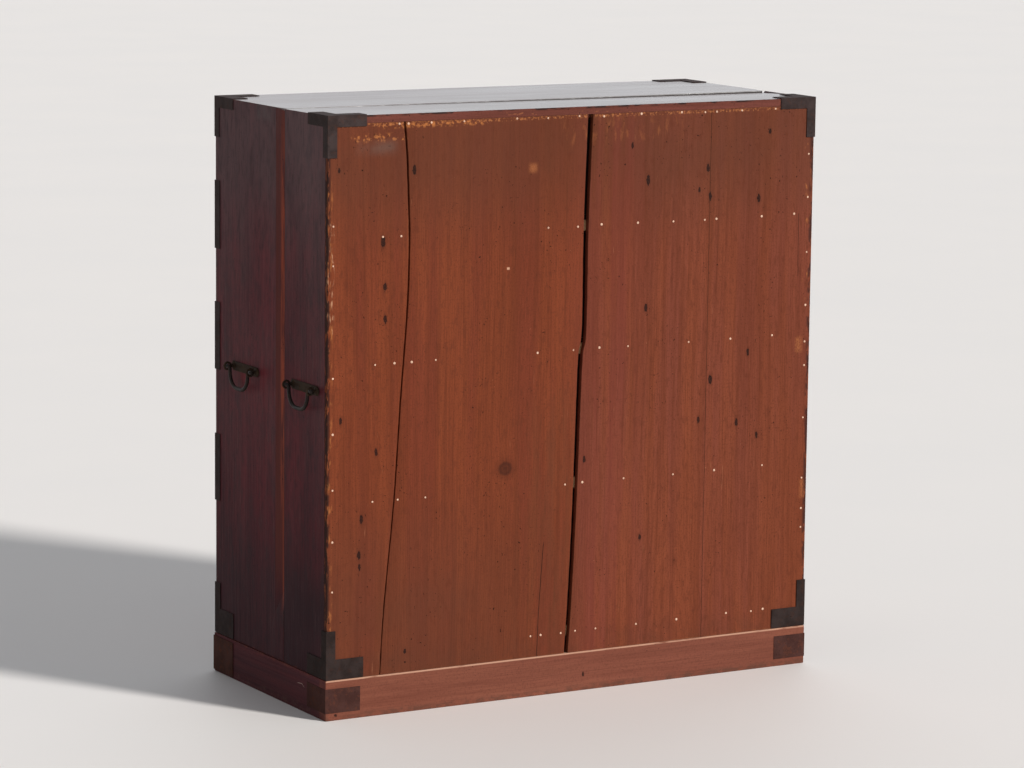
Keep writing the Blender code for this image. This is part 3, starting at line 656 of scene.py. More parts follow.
        if self.coat > 0:
            facing = sheet.node("ShaderNodeTexCoord", {}, {}).outputs["Normal"]
            upward = Signal(sheet, sheet.node("ShaderNodeSeparateXYZ", {}, {0: facing}).outputs[2])
            streaked = 1.0 - narrow.rise(0.42, 0.72) * 0.30 - broad.rise(0.45, 0.65) * 0.20
            sheet.feed(sheet.shader.inputs["Coat Weight"], upward.rise(0.93, 0.99) * streaked * self.coat)
        sheet.shader.inputs["Coat Roughness"].default_value = self.coat_roughness
        return sheet.finish(paint, roughness, 0.0, normal)


@dataclass(frozen=True)
class Iron:
    """Forged iron, dark, worn and a little rusty."""

    skin: Colour
    worn: Colour
    rust: Colour
    rust_share: float = 0.35
    metallic: float = 0.55
    roughness: float = 0.46
    pit_scale: float = 420.0
    specular: float = 0.18

    def material(self, name: str, seed: float) -> bpy.types.Material:
        """Make the iron's material.

        Args:
            name: the material's name.
            seed: moves its noise.

        Returns:
            The material.
        """
        sheet = NodeSheet(name)
        x, y, z = sheet.axes()
        place = sheet.vector(x + seed, y - seed, z)
        cloud = sheet.noise(place, 38.0, 4.0, 0.6)
        pits = sheet.noise(place, self.pit_scale, 3.0, 0.6)
        hammer = sheet.cells(place, 150.0, "SMOOTH_F1")
        grime = sheet.noise(place, 110.0, 3.0, 0.65)
        paint = sheet.mix(cloud.rise(0.35, 0.65), self.skin, self.worn)
        rusted = grime.rise(0.52, 0.68) * self.rust_share
        paint = sheet.mix(rusted, paint, self.rust)
        paint = sheet.mix(pits.rise(0.60, 0.74) * 0.6, paint, BLACK)
        roughness = cloud * 0.25 + self.roughness + rusted * 0.3 - 0.12
        metallic = (1.0 - rusted) * self.metallic
        height = hammer * 0.8 + pits * 0.35 + cloud * 0.5
        sheet.shader.inputs["Specular IOR Level"].default_value = self.specular
        return sheet.finish(paint, roughness, metallic, sheet.bump(height, 0.0004, 0.55))


@dataclass(frozen=True)
class PegWood:
    """Pale end grain of the wooden pegs."""

    heart: Colour = (0.62, 0.40, 0.28)
    rim: Colour = (0.26, 0.11, 0.06)

    def material(self, name: str) -> bpy.types.Material:
        """Make the pegs' material."""
        sheet = NodeSheet(name)
        cloud = sheet.noise(sheet.place(), 260.0, 2.0)
        slow = sheet.noise(sheet.place(), 23.0, 1.0)
        paint = sheet.mix(cloud.rise(0.45, 0.75) * 0.6, self.heart, self.rim)
        paint = sheet.mix(slow.rise(0.50, 0.80) * 0.5, paint, self.rim)
        return sheet.finish(paint, cloud * 0.3 + 0.5, 0.0, sheet.bump(cloud, 0.0003, 0.5))


# Mesh work


def low_high(mesh: bpy.types.Mesh) -> tuple[Place, Place]:
    """Lowest and highest corner of a mesh."""
    corners = [vertex.co for vertex in mesh.vertices]
    low = tuple(min(corner[axis] for corner in corners) for axis in range(3))
    high = tuple(max(corner[axis] for corner in corners) for axis in range(3))
    return low, high


def mesh_of(name: str, bm: bmesh.types.BMesh, smooth: bool = False) -> bpy.types.Mesh:
    """Turn a working mesh into a mesh with its faces looking outward.

    Args:
        name: the mesh's name.
        bm: the working mesh, which is freed.
        smooth: whether gentle edges are shaded smooth.

    Returns:
        The mesh.
    """
    bmesh.ops.recalc_face_normals(bm, faces=bm.faces)
    mesh = bpy.data.meshes.new(name)
    bm.to_mesh(mesh)
    bm.free()
    if smooth:
        mesh.shade_smooth()
        mesh.set_sharp_from_angle(angle=SMOOTH_ANGLE)
    return mesh


def soften(obj: bpy.types.Object, width: float, segments: int = 2, weld: bool = False) -> bpy.types.Object:
    """Round an object's arrises with a bevel.

    Args:
        obj: the object.
        width: the bevel's width.
        segments: how many facets it has.
        weld: whether split corners are joined first.

    Returns:
        The object.
    """
    if weld:
        joined = obj.modifiers.new("weld", "WELD")
        joined.merge_threshold = WELD_DISTANCE
    rounded = obj.modifiers.new("rounded_edges", "BEVEL")
    rounded.width = width
    rounded.segments = segments
    rounded.limit_method = "ANGLE"
    rounded.angle_limit = BEVEL_ANGLE
    return obj


def add_piece(
    name: str, mesh: bpy.types.Mesh, body: str, material: bpy.types.Material,
    stands_for: Sequence[str] = (),
) -> bpy.types.Object:
    """Put a world-placed mesh on a body of the frame.

    Args:
        name: the piece's name.
        mesh: its mesh.
        body: the CAD body that it moves with.
        material: its material.
        stands_for: CAD nodes that it replaces.

    Returns:
        The new object.
    """
    obj = bpy.data.objects.new(name, mesh)
    bpy.context.scene.collection.objects.link(obj)
    mesh.materials.clear()
    mesh.materials.append(material)
    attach(obj, body)
    if stands_for:
        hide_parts(*stands_for)
    LOG.info("piece %s on %s, %d faces", name, body, len(mesh.polygons))
    return obj


def add_box(bm: bmesh.types.BMesh, one: Sequence[float], other: Sequence[float]) -> None:
    """Add a closed box between two opposite corners to a working mesh."""
    low = [min(pair) for pair in zip(one, other)]
    high = [max(pair) for pair in zip(one, other)]
    corners = [
        bm.verts.new((x, y, z))
        for x in (low[0], high[0]) for y in (low[1], high[1]) for z in (low[2], high[2])
    ]
    for face in ((0, 1, 3, 2), (4, 6, 7, 5), (0, 4, 5, 1), (2, 3, 7, 6), (0, 2, 6, 4), (1, 5, 7, 3)):
        bm.faces.new([corners[index] for index in face])


def add_loft(bm: bmesh.types.BMesh, rings: Sequence[Sequence[Vector]]) -> None:
    """Add a closed skin over rings of as many points each, with flat ends.

    Args:
        bm: the working mesh.
        rings: the rings in order.
    """
    rows = [[bm.verts.new(point) for point in ring] for ring in rings]
    count = len(rows[0])
    for here, there in zip(rows, rows[1:]):
        for index in range(count):
            after = (index + 1) % count
            bm.faces.new((here[index], here[after], there[after], there[index]))
    bm.faces.new(rows[0][::-1])
    bm.faces.new(rows[-1])


def frame_of(along_u: Sequence[float], along_v: Sequence[float], origin: Sequence[float]) -> Matrix:
    """Matrix of a flat outline's plane: u and v lie in it, w is across it."""
    u = Vector(along_u).normalized()
    v = Vector(along_v).normalized()
    turn = Matrix((u, v, u.cross(v))).transposed().to_4x4()
    return Matrix.Translation(Vector(origin)) @ turn


def plate_mesh(name: str, rings: Sequence[Ring], thickness: float, matrix: Matrix) -> bpy.types.Mesh:
    """A flat plate with holes, centred on its plane.

    Args:
        name: the mesh's name.
        rings: outline, then holes.
        thickness: how thick it is.
        matrix: the plane that it lies in.

    Returns:
        The plate in world coordinates.
    """
    curve = bpy.data.curves.new(name, "CURVE")
    curve.dimensions = "2D"
    curve.fill_mode = "BOTH"
    curve.extrude = thickness / 2
    for ring in rings:
        spline = curve.splines.new("POLY")
        spline.points.add(len(ring) - 1)
        for point, (u, v) in zip(spline.points, ring):
            point.co = (u, v, 0.0, 1.0)
        spline.use_cyclic_u = True
    holder = bpy.data.objects.new(name, curve)
    bpy.context.scene.collection.objects.link(holder)
    bpy.context.view_layer.update()
    graph = bpy.context.evaluated_depsgraph_get()
    flat = bpy.data.meshes.new_from_object(holder.evaluated_get(graph))
    bpy.data.objects.remove(holder, do_unlink=True)
    bm = bmesh.new()
    bm.from_mesh(flat)
    bpy.data.meshes.remove(flat)
    bmesh.ops.remove_doubles(bm, verts=bm.verts, dist=WELD_DISTANCE)
    bmesh.ops.transform(bm, matrix=matrix, verts=bm.verts)
    return mesh_of(name, bm)


def add_tube(bm: bmesh.types.BMesh, points: Sequence[Vector], radii: Sequence[float], sides: int) -> None:
    """Add a closed round bar along points that lie in one plane.

    Args:
        bm: the working mesh.
        points: the bar's middle line.
        radii: its radius at each point.
        sides: how many sides it has.
    """
    flat = (points[1] - points[0]).cross(points[len(points) // 2] - points[0]).normalized()
    if flat.length == 0:
        flat = Vector((0, 0, 1))
    rings = []
    for index, (point, radius) in enumerate(zip(points, radii)):
        before = points[max(index - 1, 0)]
        after = points[min(index + 1, len(points) - 1)]
        run = (after - before).normalized()
        out = run.cross(flat).normalized()
        ring = []
        for step in range(sides):
            turn = math.tau * step / sides
            ring.append(point + out * (radius * math.cos(turn)) + flat * (radius * math.sin(turn)))
        rings.append(ring)
    add_loft(bm, rings)


def add_turned(
    bm: bmesh.types.BMesh, foot: Vector, outward: Vector, profile: Sequence[tuple[float, float]], sides: int,
) -> None:
    """Add a round piece turned about a line, from its foot outward.

    Args:
        bm: the working mesh.
        foot: where the line starts.
        outward: the line's direction.
        profile: radius and height of each ring.
        sides: how many sides it has.
    """
    outward = outward.normalized()
    across = outward.orthogonal().normalized()
    other = outward.cross(across)
    rings = []
    for radius, height in profile:
        ring = []
        for step in range(sides):
            turn = math.tau * step / sides
            ring.append(
                foot + outward * height + across * (radius * math.cos(turn)) + other * (radius * math.sin(turn))
            )
        rings.append(ring)
    add_loft(bm, rings)


def add_ring(
    bm: bmesh.types.BMesh, centre: Vector, axis: Vector, reach: float, thickness: float, width: float,
    steps: int = 20, sides: int = 10,
) -> None:
    """Add a closed eye: a ring of rounded section about an axis.

    Args:
        bm: the working mesh.
        centre: the hole's middle.
        axis: direction of the hole.
        reach: radius of the section's middle line.
        thickness: half of the section across the axis.
        width: half of the section along the axis.
        steps: how many facets it has round the hole.
        sides: how many facets its section has.
    """
    axis = axis.normalized()
    across = axis.orthogonal().normalized()
    other = axis.cross(across)
    rows = []
    for step in range(steps):
        turn = math.tau * step / steps
        out = across * math.cos(turn) + other * math.sin(turn)
        row = []
        for side in range(sides):
            angle = math.tau * side / sides
            offset = out * (reach + thickness * math.cos(angle)) + axis * (width * math.sin(angle))
            row.append(bm.verts.new(centre + offset))
        rows.append(row)
    for index, row in enumerate(rows):
        following = rows[(index + 1) % steps]
        for side in range(sides):
            after = (side + 1) % sides
            bm.faces.new((row[side], row[after], following[after], following[side]))


def rounded_head(radius: float, height: float, sink: float) -> list[tuple[float, float]]:
    """Profile of a domed head that is sunk a little into its board."""
    return [
        (radius * 0.96, -sink), (radius, 0.0), (radius * 0.93, height * 0.45),
        (radius * 0.68, height * 0.82), (radius * 0.30, height),
    ]


def smooth_course(knots: Sequence[tuple[float, float]], share: float) -> float:
    """Read a smooth line through given points.

    Args:
        knots: pairs of share and value, in order.
        share: where to read it.

    Returns:
        The value there.
    """
    spots = list(knots)
    spots.insert(0, (2 * spots[0][0] - spots[1][0], 2 * spots[0][1] - spots[1][1]))
    spots.append((2 * spots[-1][0] - spots[-2][0], 2 * spots[-1][1] - spots[-2][1]))
    for index in range(1, len(spots) - 2):
        if share <= spots[index + 1][0] or index == len(spots) - 3:
            break
    (s0, v0), (s1, v1), (s2, v2), (s3, v3) = spots[index - 1:index + 3]
    run = s2 - s1
    t = (share - s1) / run
    leave = (v2 - v0) / (s2 - s0) * run
    arrive = (v3 - v1) / (s3 - s1) * run
    return (
        (2 * t ** 3 - 3 * t ** 2 + 1) * v1 + (t ** 3 - 2 * t ** 2 + t) * leave
        + (3 * t ** 2 - 2 * t ** 3) * v2 + (t ** 3 - t ** 2) * arrive
    )


# The chest's finishes

RED_LACQUER = Wood(
    early=(0.088, 0.019, 0.023), late=(0.026, 0.009, 0.012), stain=(0.052, 0.016, 0.021),
    zone=(0.118, 0.016, 0.022), worn=(0.130, 0.040, 0.028), knot=(0.012, 0.006, 0.006),
    gloss_roughness=0.40, dull_roughness=0.64, ring_share=0.30, fibre_share=0.40, streak_share=0.55,
    stain_share=0.60, zone_share=0.45, wear_share=0.45, scratch_share=0.40, scratch=(0.22, 0.10, 0.08),
    fleck_share=0.9, grit_share=0.42, specular=0.07,
)
TOP_LACQUER = Wood(
    early=(0.110, 0.068, 0.060), late=(0.050, 0.026, 0.024), stain=(0.085, 0.050, 0.046),
    zone=(0.170, 0.140, 0.132), worn=(0.130, 0.055, 0.036), knot=(0.02, 0.01, 0.01),
    gloss_roughness=0.24, dull_roughness=0.40, ring_share=0.25, streak_share=0.45, zone_share=0.75,
    wear_share=0.75, scratch_share=0.45, scratch=(0.26, 0.20, 0.18), fleck_share=0.9, specular=0.5,
    coat=0.86, coat_roughness=0.24,
)
PLINTH_LACQUER = replace(
    RED_LACQUER, early=(0.100, 0.0235, 0.0265), late=(0.030, 0.0110, 0.0140), stain=(0.060, 0.0200, 0.0245),
    zone=(0.128, 0.0220, 0.0260),
)
FRONT_LACQUER = Wood(
    early=(0.165, 0.044, 0.028), late=(0.052, 0.015, 0.012), stain=(0.100, 0.026, 0.019),
    zone=(0.140, 0.030, 0.022), worn=(0.230, 0.095, 0.050), knot=(0.02, 0.01, 0.01),
    gloss_roughness=0.26, dull_roughness=0.44, ring_width=0.0065, ring_share=0.50, streak_share=0.30,
    wear_share=0.55, scratch_share=0.25, scratch=(0.26, 0.12, 0.08), fleck_share=0.4, specular=0.24,
)
CEDAR = Wood(
    early=(0.180, 0.0415, 0.0155), late=(0.070, 0.0165, 0.0075), stain=(0.112, 0.0265, 0.0110),
    zone=(0.135, 0.0270, 0.0145), worn=(0.230, 0.0800, 0.0340), knot=(0.014, 0.0060, 0.0045),
    gloss_roughness=0.58, dull_roughness=0.80, ring_share=0.24, fibre_share=0.32, streak_share=0.34,
    stain_share=0.50, zone_share=0.60, wear_share=0.5, scratch_share=0.60, scratch=(0.34, 0.14, 0.07),
    fleck_share=0.9, grit_share=0.30, specular=0.07,
)
LEFT_CEDAR = replace(CEDAR, early=(0.184, 0.0460, 0.0200), zone=(0.152, 0.0400, 0.0270))
PLINTH_CEDAR = replace(
    CEDAR, early=(0.205, 0.0700, 0.0430), late=(0.090, 0.0280, 0.0180), stain=(0.145, 0.0460, 0.0290),
    zone=(0.172, 0.0520, 0.0340), ring_share=0.30,
)
TOP_EDGE = replace(
    CEDAR, early=(0.150, 0.0460, 0.0340), late=(0.060, 0.0180, 0.0120), stain=(0.100, 0.0300, 0.0200),
    zone=(0.128, 0.0350, 0.0260), worn=(0.070, 0.0240, 0.0180),
)
INNER_WOOD = Wood(
    early=(0.46, 0.29, 0.16), late=(0.28, 0.16, 0.080), stain=(0.36, 0.22, 0.12),
    zone=(0.42, 0.25, 0.13), worn=(0.30, 0.19, 0.11), knot=(0.12, 0.06, 0.03),
    gloss_roughness=0.60, dull_roughness=0.82, ring_share=0.30, wear_share=0.3, scratch_share=0.2,
    scratch=(0.55, 0.38, 0.24), fleck_share=0.3, specular=0.15,
)
DARK_IRON = Iron(
    skin=(0.028, 0.0195, 0.0185), worn=(0.046, 0.0330, 0.0320), rust=(0.066, 0.0290, 0.0200),
    metallic=0.06, roughness=0.60, specular=0.03,
)
SOOTY_IRON = replace(
    DARK_IRON, skin=(0.0195, 0.0132, 0.0120), worn=(0.0320, 0.0225, 0.0210), rust=(0.0480, 0.0205, 0.0140),
)
# Two copies of one rusty iron, lit and shaded: the first is painted lighter, for the plinth's front plates that stand
# in shade on the ends; the second is painted darker, for the rear straps on the lit back.
RUSTY_IRON_LIGHTENED_FOR_SHADE = Iron(
    skin=(0.060, 0.0255, 0.0195), worn=(0.085, 0.0380, 0.0300), rust=(0.118, 0.0440, 0.0280),
    rust_share=0.7, metallic=0.05, roughness=0.66, specular=0.03,
)
RUSTY_IRON_DARKENED_FOR_LIGHT = replace(
    RUSTY_IRON_LIGHTENED_FOR_SHADE, skin=(0.043, 0.0178, 0.0148), worn=(0.062, 0.0270, 0.0225), rust=(0.085, 0.0305, 0.0200),
)
HANDLE_IRON = Iron(
    skin=(0.014, 0.0105, 0.0095), worn=(0.032, 0.0240, 0.0200), rust=(0.050, 0.0250, 0.0150),
    metallic=0.20, specular=0.10,
)
PLATE_IRON = Iron(
    skin=(0.030, 0.0190, 0.0135), worn=(0.046, 0.0310, 0.0210), rust=(0.060, 0.0340, 0.0180),
    rust_share=0.6, metallic=0.05, roughness=0.60, specular=0.03,
)


# Pieces


@dataclass
class Case:
    """The box, plinth, shelves and their finishes, on the chest's own nodes."""

    ends_bevel: float = 0.0010
    iron_bevel: float = 0.00035
    front_band: float = 0.012
    strip_width: float = 0.0315
    rub_inset: float = 0.016
    rear_set_in: float = 0.0009
    scene: dict = field(default_factory=dict)

    def dress(self, name: str, material: bpy.types.Material, width: float) -> None:
        """Give a CAD node its material and soft arrises.

        Args:
            name: the node.
            material: what it is finished in.
            width: width of its bevel.
        """
        node = self.scene["nodes"][name]
        node.data.materials.clear()
        node.data.materials.append(material)
        soften(node, width, weld=True)
        LOG.info("node %s dressed in %s", name, material.name)

    def board(self, name: str, along: Axis, across: Axis, depth: Axis, seed: float, **cut: object) -> Board:
        """A node's box as a board."""
        low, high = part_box(name)
        return Board(tuple(low), tuple(high), along, across, depth, seed, **cut)

    def dress_ends(self) -> None:
        """The two boards of each end, lacquered, with the worn strip along their seam, partly painted highlight, and
        painted sheen and shade.
        """
        for number, side in enumerate(("right", "left")):
            for order, part in enumerate(("front_board", "rear_board")):
                name = "side_" + side + "_" + part
                seed = 3.1 + 1.7 * number + 0.9 * order
                low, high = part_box(name)
                face = high[0] if side == "right" else low[0]
                inward = -1 if side == "right" else 1
                middle = (low[1] + high[1]) / 2
                # The first patch is a greyish painted sheen on the upper part of each end, and the second is painted
                # shade on its lower part; the others are the lacquer's own crimson zone, streaks and specks.
                patches = [
                    Patch((None, None, (0.80, 1.5)), (0.118, 0.076, 0.078), 0.50, 0.17, 1.0, 5.0, 0.80, 0.45),
                    Patch((None, None, (-0.5, 0.35)), (0.020, 0.006, 0.009), 0.50 + 0.36 * order, 0.17, 1.0, 6.0,
                          0.78, 0.40),
                    Patch((None, None, (0.25, 0.82)), (0.165, 0.016, 0.022), 0.45, 0.08, 0.10, 18.0, 0.46, 0.22),
                    Patch((None, None, None), (0.020, 0.009, 0.011), 0.50, 0.002, 0.22, 170.0, 0.41, 0.10),
                    Patch((None, None, None), (0.026, 0.013, 0.016), 0.45, 0.002, 0.45, 42.0, 0.42, 0.14),
                    Patch((None, None, None), (0.130, 0.074, 0.070), 0.16, 0.002, 0.10, 260.0, 0.36, 0.08),
                ]
                for handle in ("front", "rear"):
                    grip_low, grip_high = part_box("side_bail_" + side + "_" + handle)
                    if low[1] < (grip_low.y + grip_high.y) / 2 < high[1]:
                        patches.append(Patch(
                            (None, (grip_low.y + self.rub_inset, grip_high.y - 2 * self.rub_inset),
                             (grip_low.z, grip_high.z)),
                            (0.180, 0.018, 0.022), 0.66, 0.013, 0.5, 60.0, 0.56, 0.30,
                        ))
                # Near-black for the lines on both sides of the seam between the two boards: painted shade in the gap.
                soot_and_shade = (0.010, 0.005, 0.006)
                if part == "rear_board":
                    patches.append(
                        Patch((None, (low[1] - 0.01, low[1] + 0.0020), None), soot_and_shade, 0.9, 0.0006, 0.1, 60.0, 1.1)
                    )
                if part == "front_board":
                    seam = high[1]
                    strip = (seam - self.strip_width, seam + 0.01)
                    # Along the seam: a reddish strip of bare wood where the lacquer has worn, with brighter orange
                    # bands on its upper and middle parts that are painted highlight where the worn bevel catches the
                    # light; a near-black line at the seam, painted shade in the gap; a pale sliver that is partly
                    # bare wood and partly painted highlight; and a grey mark near the top.
                    patches += [
                        Patch((None, strip, (0.20, 1.02)), (0.098, 0.021, 0.015),
                              0.80, (0.001, 0.0022, 0.055), 0.06, 150.0, 0.66, 0.20),
                        Patch((None, (seam - 0.0165, seam + 0.01), (0.34, 0.95)), (0.275, 0.054, 0.026),
                              0.85, (0.001, 0.0035, 0.09), 0.09, 130.0, 0.53, 0.12),
                        Patch((None, (seam - 0.0100, seam + 0.01), (0.17, 0.40)), (0.230, 0.046, 0.024),
                              0.80, (0.001, 0.0025, 0.03), 0.05, 130.0, 0.56, 0.16),
                        Patch((None, (seam - 0.0024, seam + 0.01), (0.15, 1.01)), soot_and_shade,
                              0.90, 0.0006, 0.10, 60.0, 1.1, 0.10),
                        Patch((None, (seam - 0.0040, seam + 0.01), (0.60, 0.735)), (0.46, 0.27, 0.20),
                              0.95, (0.001, 0.0006, 0.01), 0.10, 300.0, 0.40, 0.05),
                        Patch((None, (-0.040, 0.016), (0.976, 1.01)), (0.085, 0.072, 0.072),
                              0.55, 0.008, 0.5, 60.0, 0.56, 0.24),
                    ]
                patches.append(Patch(
                    (None, None, (0.066, 0.071)), (0.15, 0.040, 0.028), 0.60, 0.0015, 1.0, 70.0, 0.40, 0.10,
                ))
                board = self.board(
                    name, Axis.Z, Axis.Y, Axis.X, seed,
                    pith_across=middle + 0.05 * (order - 0.3), pith_depth=face + inward * 0.09,
                    pith_lean=0.06, patches=tuple(patches),
                )
                self.dress(name, RED_LACQUER.material(name + "_lacquer", board), self.ends_bevel)

    def dress_top_front(self) -> None:
        """The top's front board, which stands a little proud of the rear one."""
        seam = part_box("top_front_board")[1].y
        # A near-black band on the front board's edge along the seam: painted shade in the crease between the two
        # boards.
        soot_and_shade = Patch((None, (seam - 0.0008, seam + 0.01), None), (0.014, 0.008, 0.008), 1.0, 0.0005, 1.0, 20.0, 1.2)
        board = self.board(
            "top_front_board", Axis.X, Axis.Y, Axis.Z, 8.2, pith_across=-0.02, pith_depth=0.86, pith_lean=0.02,
            patches=(soot_and_shade,),
        )
        self.dress("top_front_board", TOP_LACQUER.material("top_front_lacquer", board), self.ends_bevel)

    def set_in(self, node: str, material: bpy.types.Material) -> None:
        """Stand in for a plinth rail with one whose rear face leaves room for the straps.

        Args:
            node: the rail.
            material: its finish.
        """
        _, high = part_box(node)
        bm = bmesh.new()
        bm.from_mesh(self.scene["nodes"][node].data)
        bmesh.ops.remove_doubles(bm, verts=bm.verts, dist=WELD_DISTANCE)
        for vertex in bm.verts:
            vertex.co.y = min(vertex.co.y, high.y - self.rear_set_in)
        piece = add_piece(node + "_set_in", mesh_of(node + "_set_in", bm), "chest", material, (node,))
        soften(piece, self.ends_bevel)

    def dress_plinth(self) -> None:
        """The plinth's rails: bare wood behind, lacquer on the other sides."""
        hook = ((0.0450, 0.119), (0.0466, 0.135), (0.0425, 0.1415))
        scratch = Hairline(hook, 0.0007, 0.9, (0.42, 0.30, 0.26))
        for order, side in enumerate(("front", "left", "right")):
            name = "plinth_" + side + "_rail"
            lengthwise = Axis.X if side == "front" else Axis.Y
            through = Axis.Y if side == "front" else Axis.X
            foot = Patch((None, None, (-0.01, 0.012)), (0.11, 0.060, 0.048), 0.6, 0.006, 1.0, 90.0, 0.42, 0.14)
            ledge = Patch((None, None, (0.0640, 0.07)), (0.150, 0.042, 0.030), 0.7, 0.0012, 1.0, 60.0, 0.42, 0.10)
            bare = Patch((None, (0.1990, 0.23), None), (0.150, 0.048, 0.030), 0.7, 0.0030, 1.0, 60.0, 0.66, 0.20)
            low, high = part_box(name)
            face = low[through.value] if side != "right" else high[through.value]
            board = self.board(
                name, lengthwise, Axis.Z, through, 12.0 + order,
                pith_across=0.01, pith_depth=face + 0.05, pith_lean=0.03, patches=(foot, ledge, bare),
                hairlines=(scratch,) if side == "right" else (),
            )
            material = PLINTH_LACQUER.material(name + "_lacquer", board)
            if side == "front":
                self.dress(name, material, self.ends_bevel)
            else:
                self.set_in(name, material)
        # A pale line along the rear rail's top edge: painted highlight where that edge catches the light.
        ledge = Patch((None, None, (0.0655, 0.07)), (0.46, 0.26, 0.18), 0.85, 0.0006, 0.10, 200.0, 0.62, 0.12)
        scuff = Patch((None, None, (-0.01, 0.009)), (0.085, 0.038, 0.026), 0.7, 0.005, 0.6, 90.0, 0.5, 0.14)
        stain = Patch((None, None, (0.012, 0.055)), (0.110, 0.032, 0.020), 0.5, 0.010, 0.05, 60.0, 0.46, 0.16)
        board = self.board(
            "plinth_rear_rail", Axis.X, Axis.Z, Axis.Y, 15.7,
            pith_across=0.045, pith_depth=0.17, pith_lean=0.05, patches=(ledge, stain, scuff),
            knots=(Knot(0.028, -0.02, 0.0035, 0.5), Knot(0.0085, 0.4555, 0.0022, 1.0)),
        )
        self.set_in("plinth_rear_rail", PLINTH_CEDAR.material("plinth_rear_cedar", board))

    def dress_inside(self) -> None:
        """Shelves, floor and front rail: lacquered front edges, bare wood behind them."""
        for order, name in enumerate(("shelf_1", "shelf_2", "shelf_3", "bottom_board")):
            low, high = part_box(name)
            patches = []
            if name != "bottom_board":
                patches.append(Patch(
                    (None, (low[1] - 0.01, low[1] + self.front_band), None), (0.070, 0.022, 0.016),
                    1.0, 0.0006, 1.0, 50.0, 1.2, 0.01,
                ))
            board = self.board(
                name, Axis.X, Axis.Y, Axis.Z, 20.0 + order, pith_depth=low[2] - 0.1, patches=tuple(patches),
            )
            self.dress(name, INNER_WOOD.material(name + "_wood", board), self.ends_bevel)
        board = self.board("front_bottom_rail", Axis.X, Axis.Z, Axis.Y, 27.3, pith_depth=-0.25)
        self.dress("front_bottom_rail", FRONT_LACQUER.material("front_bottom_lacquer", board), self.ends_bevel)

    def dress_irons(self) -> None:
        """The eight corner irons and the lock's case and bolt."""
        dark = DARK_IRON.material("corner_iron", 0.3)
        # Here the name holds the darker sooty iron of the rear foot irons.
        soot_and_shade = SOOTY_IRON.material("rear_foot_iron", 6.4)
        for name in self.scene["nodes"]:
            if name.startswith(("top_iron", "foot_iron", "lock_")):
                is_rear_foot = name.startswith("foot_iron") and name.endswith("rear")
                self.dress(name, soot_and_shade if is_rear_foot else dark, self.iron_bevel)

    def build(self) -> None:
        """Dress every node that stays."""
        self.dress_ends()
        self.dress_top_front()
        self.dress_plinth()
        self.dress_inside()
        self.dress_irons()


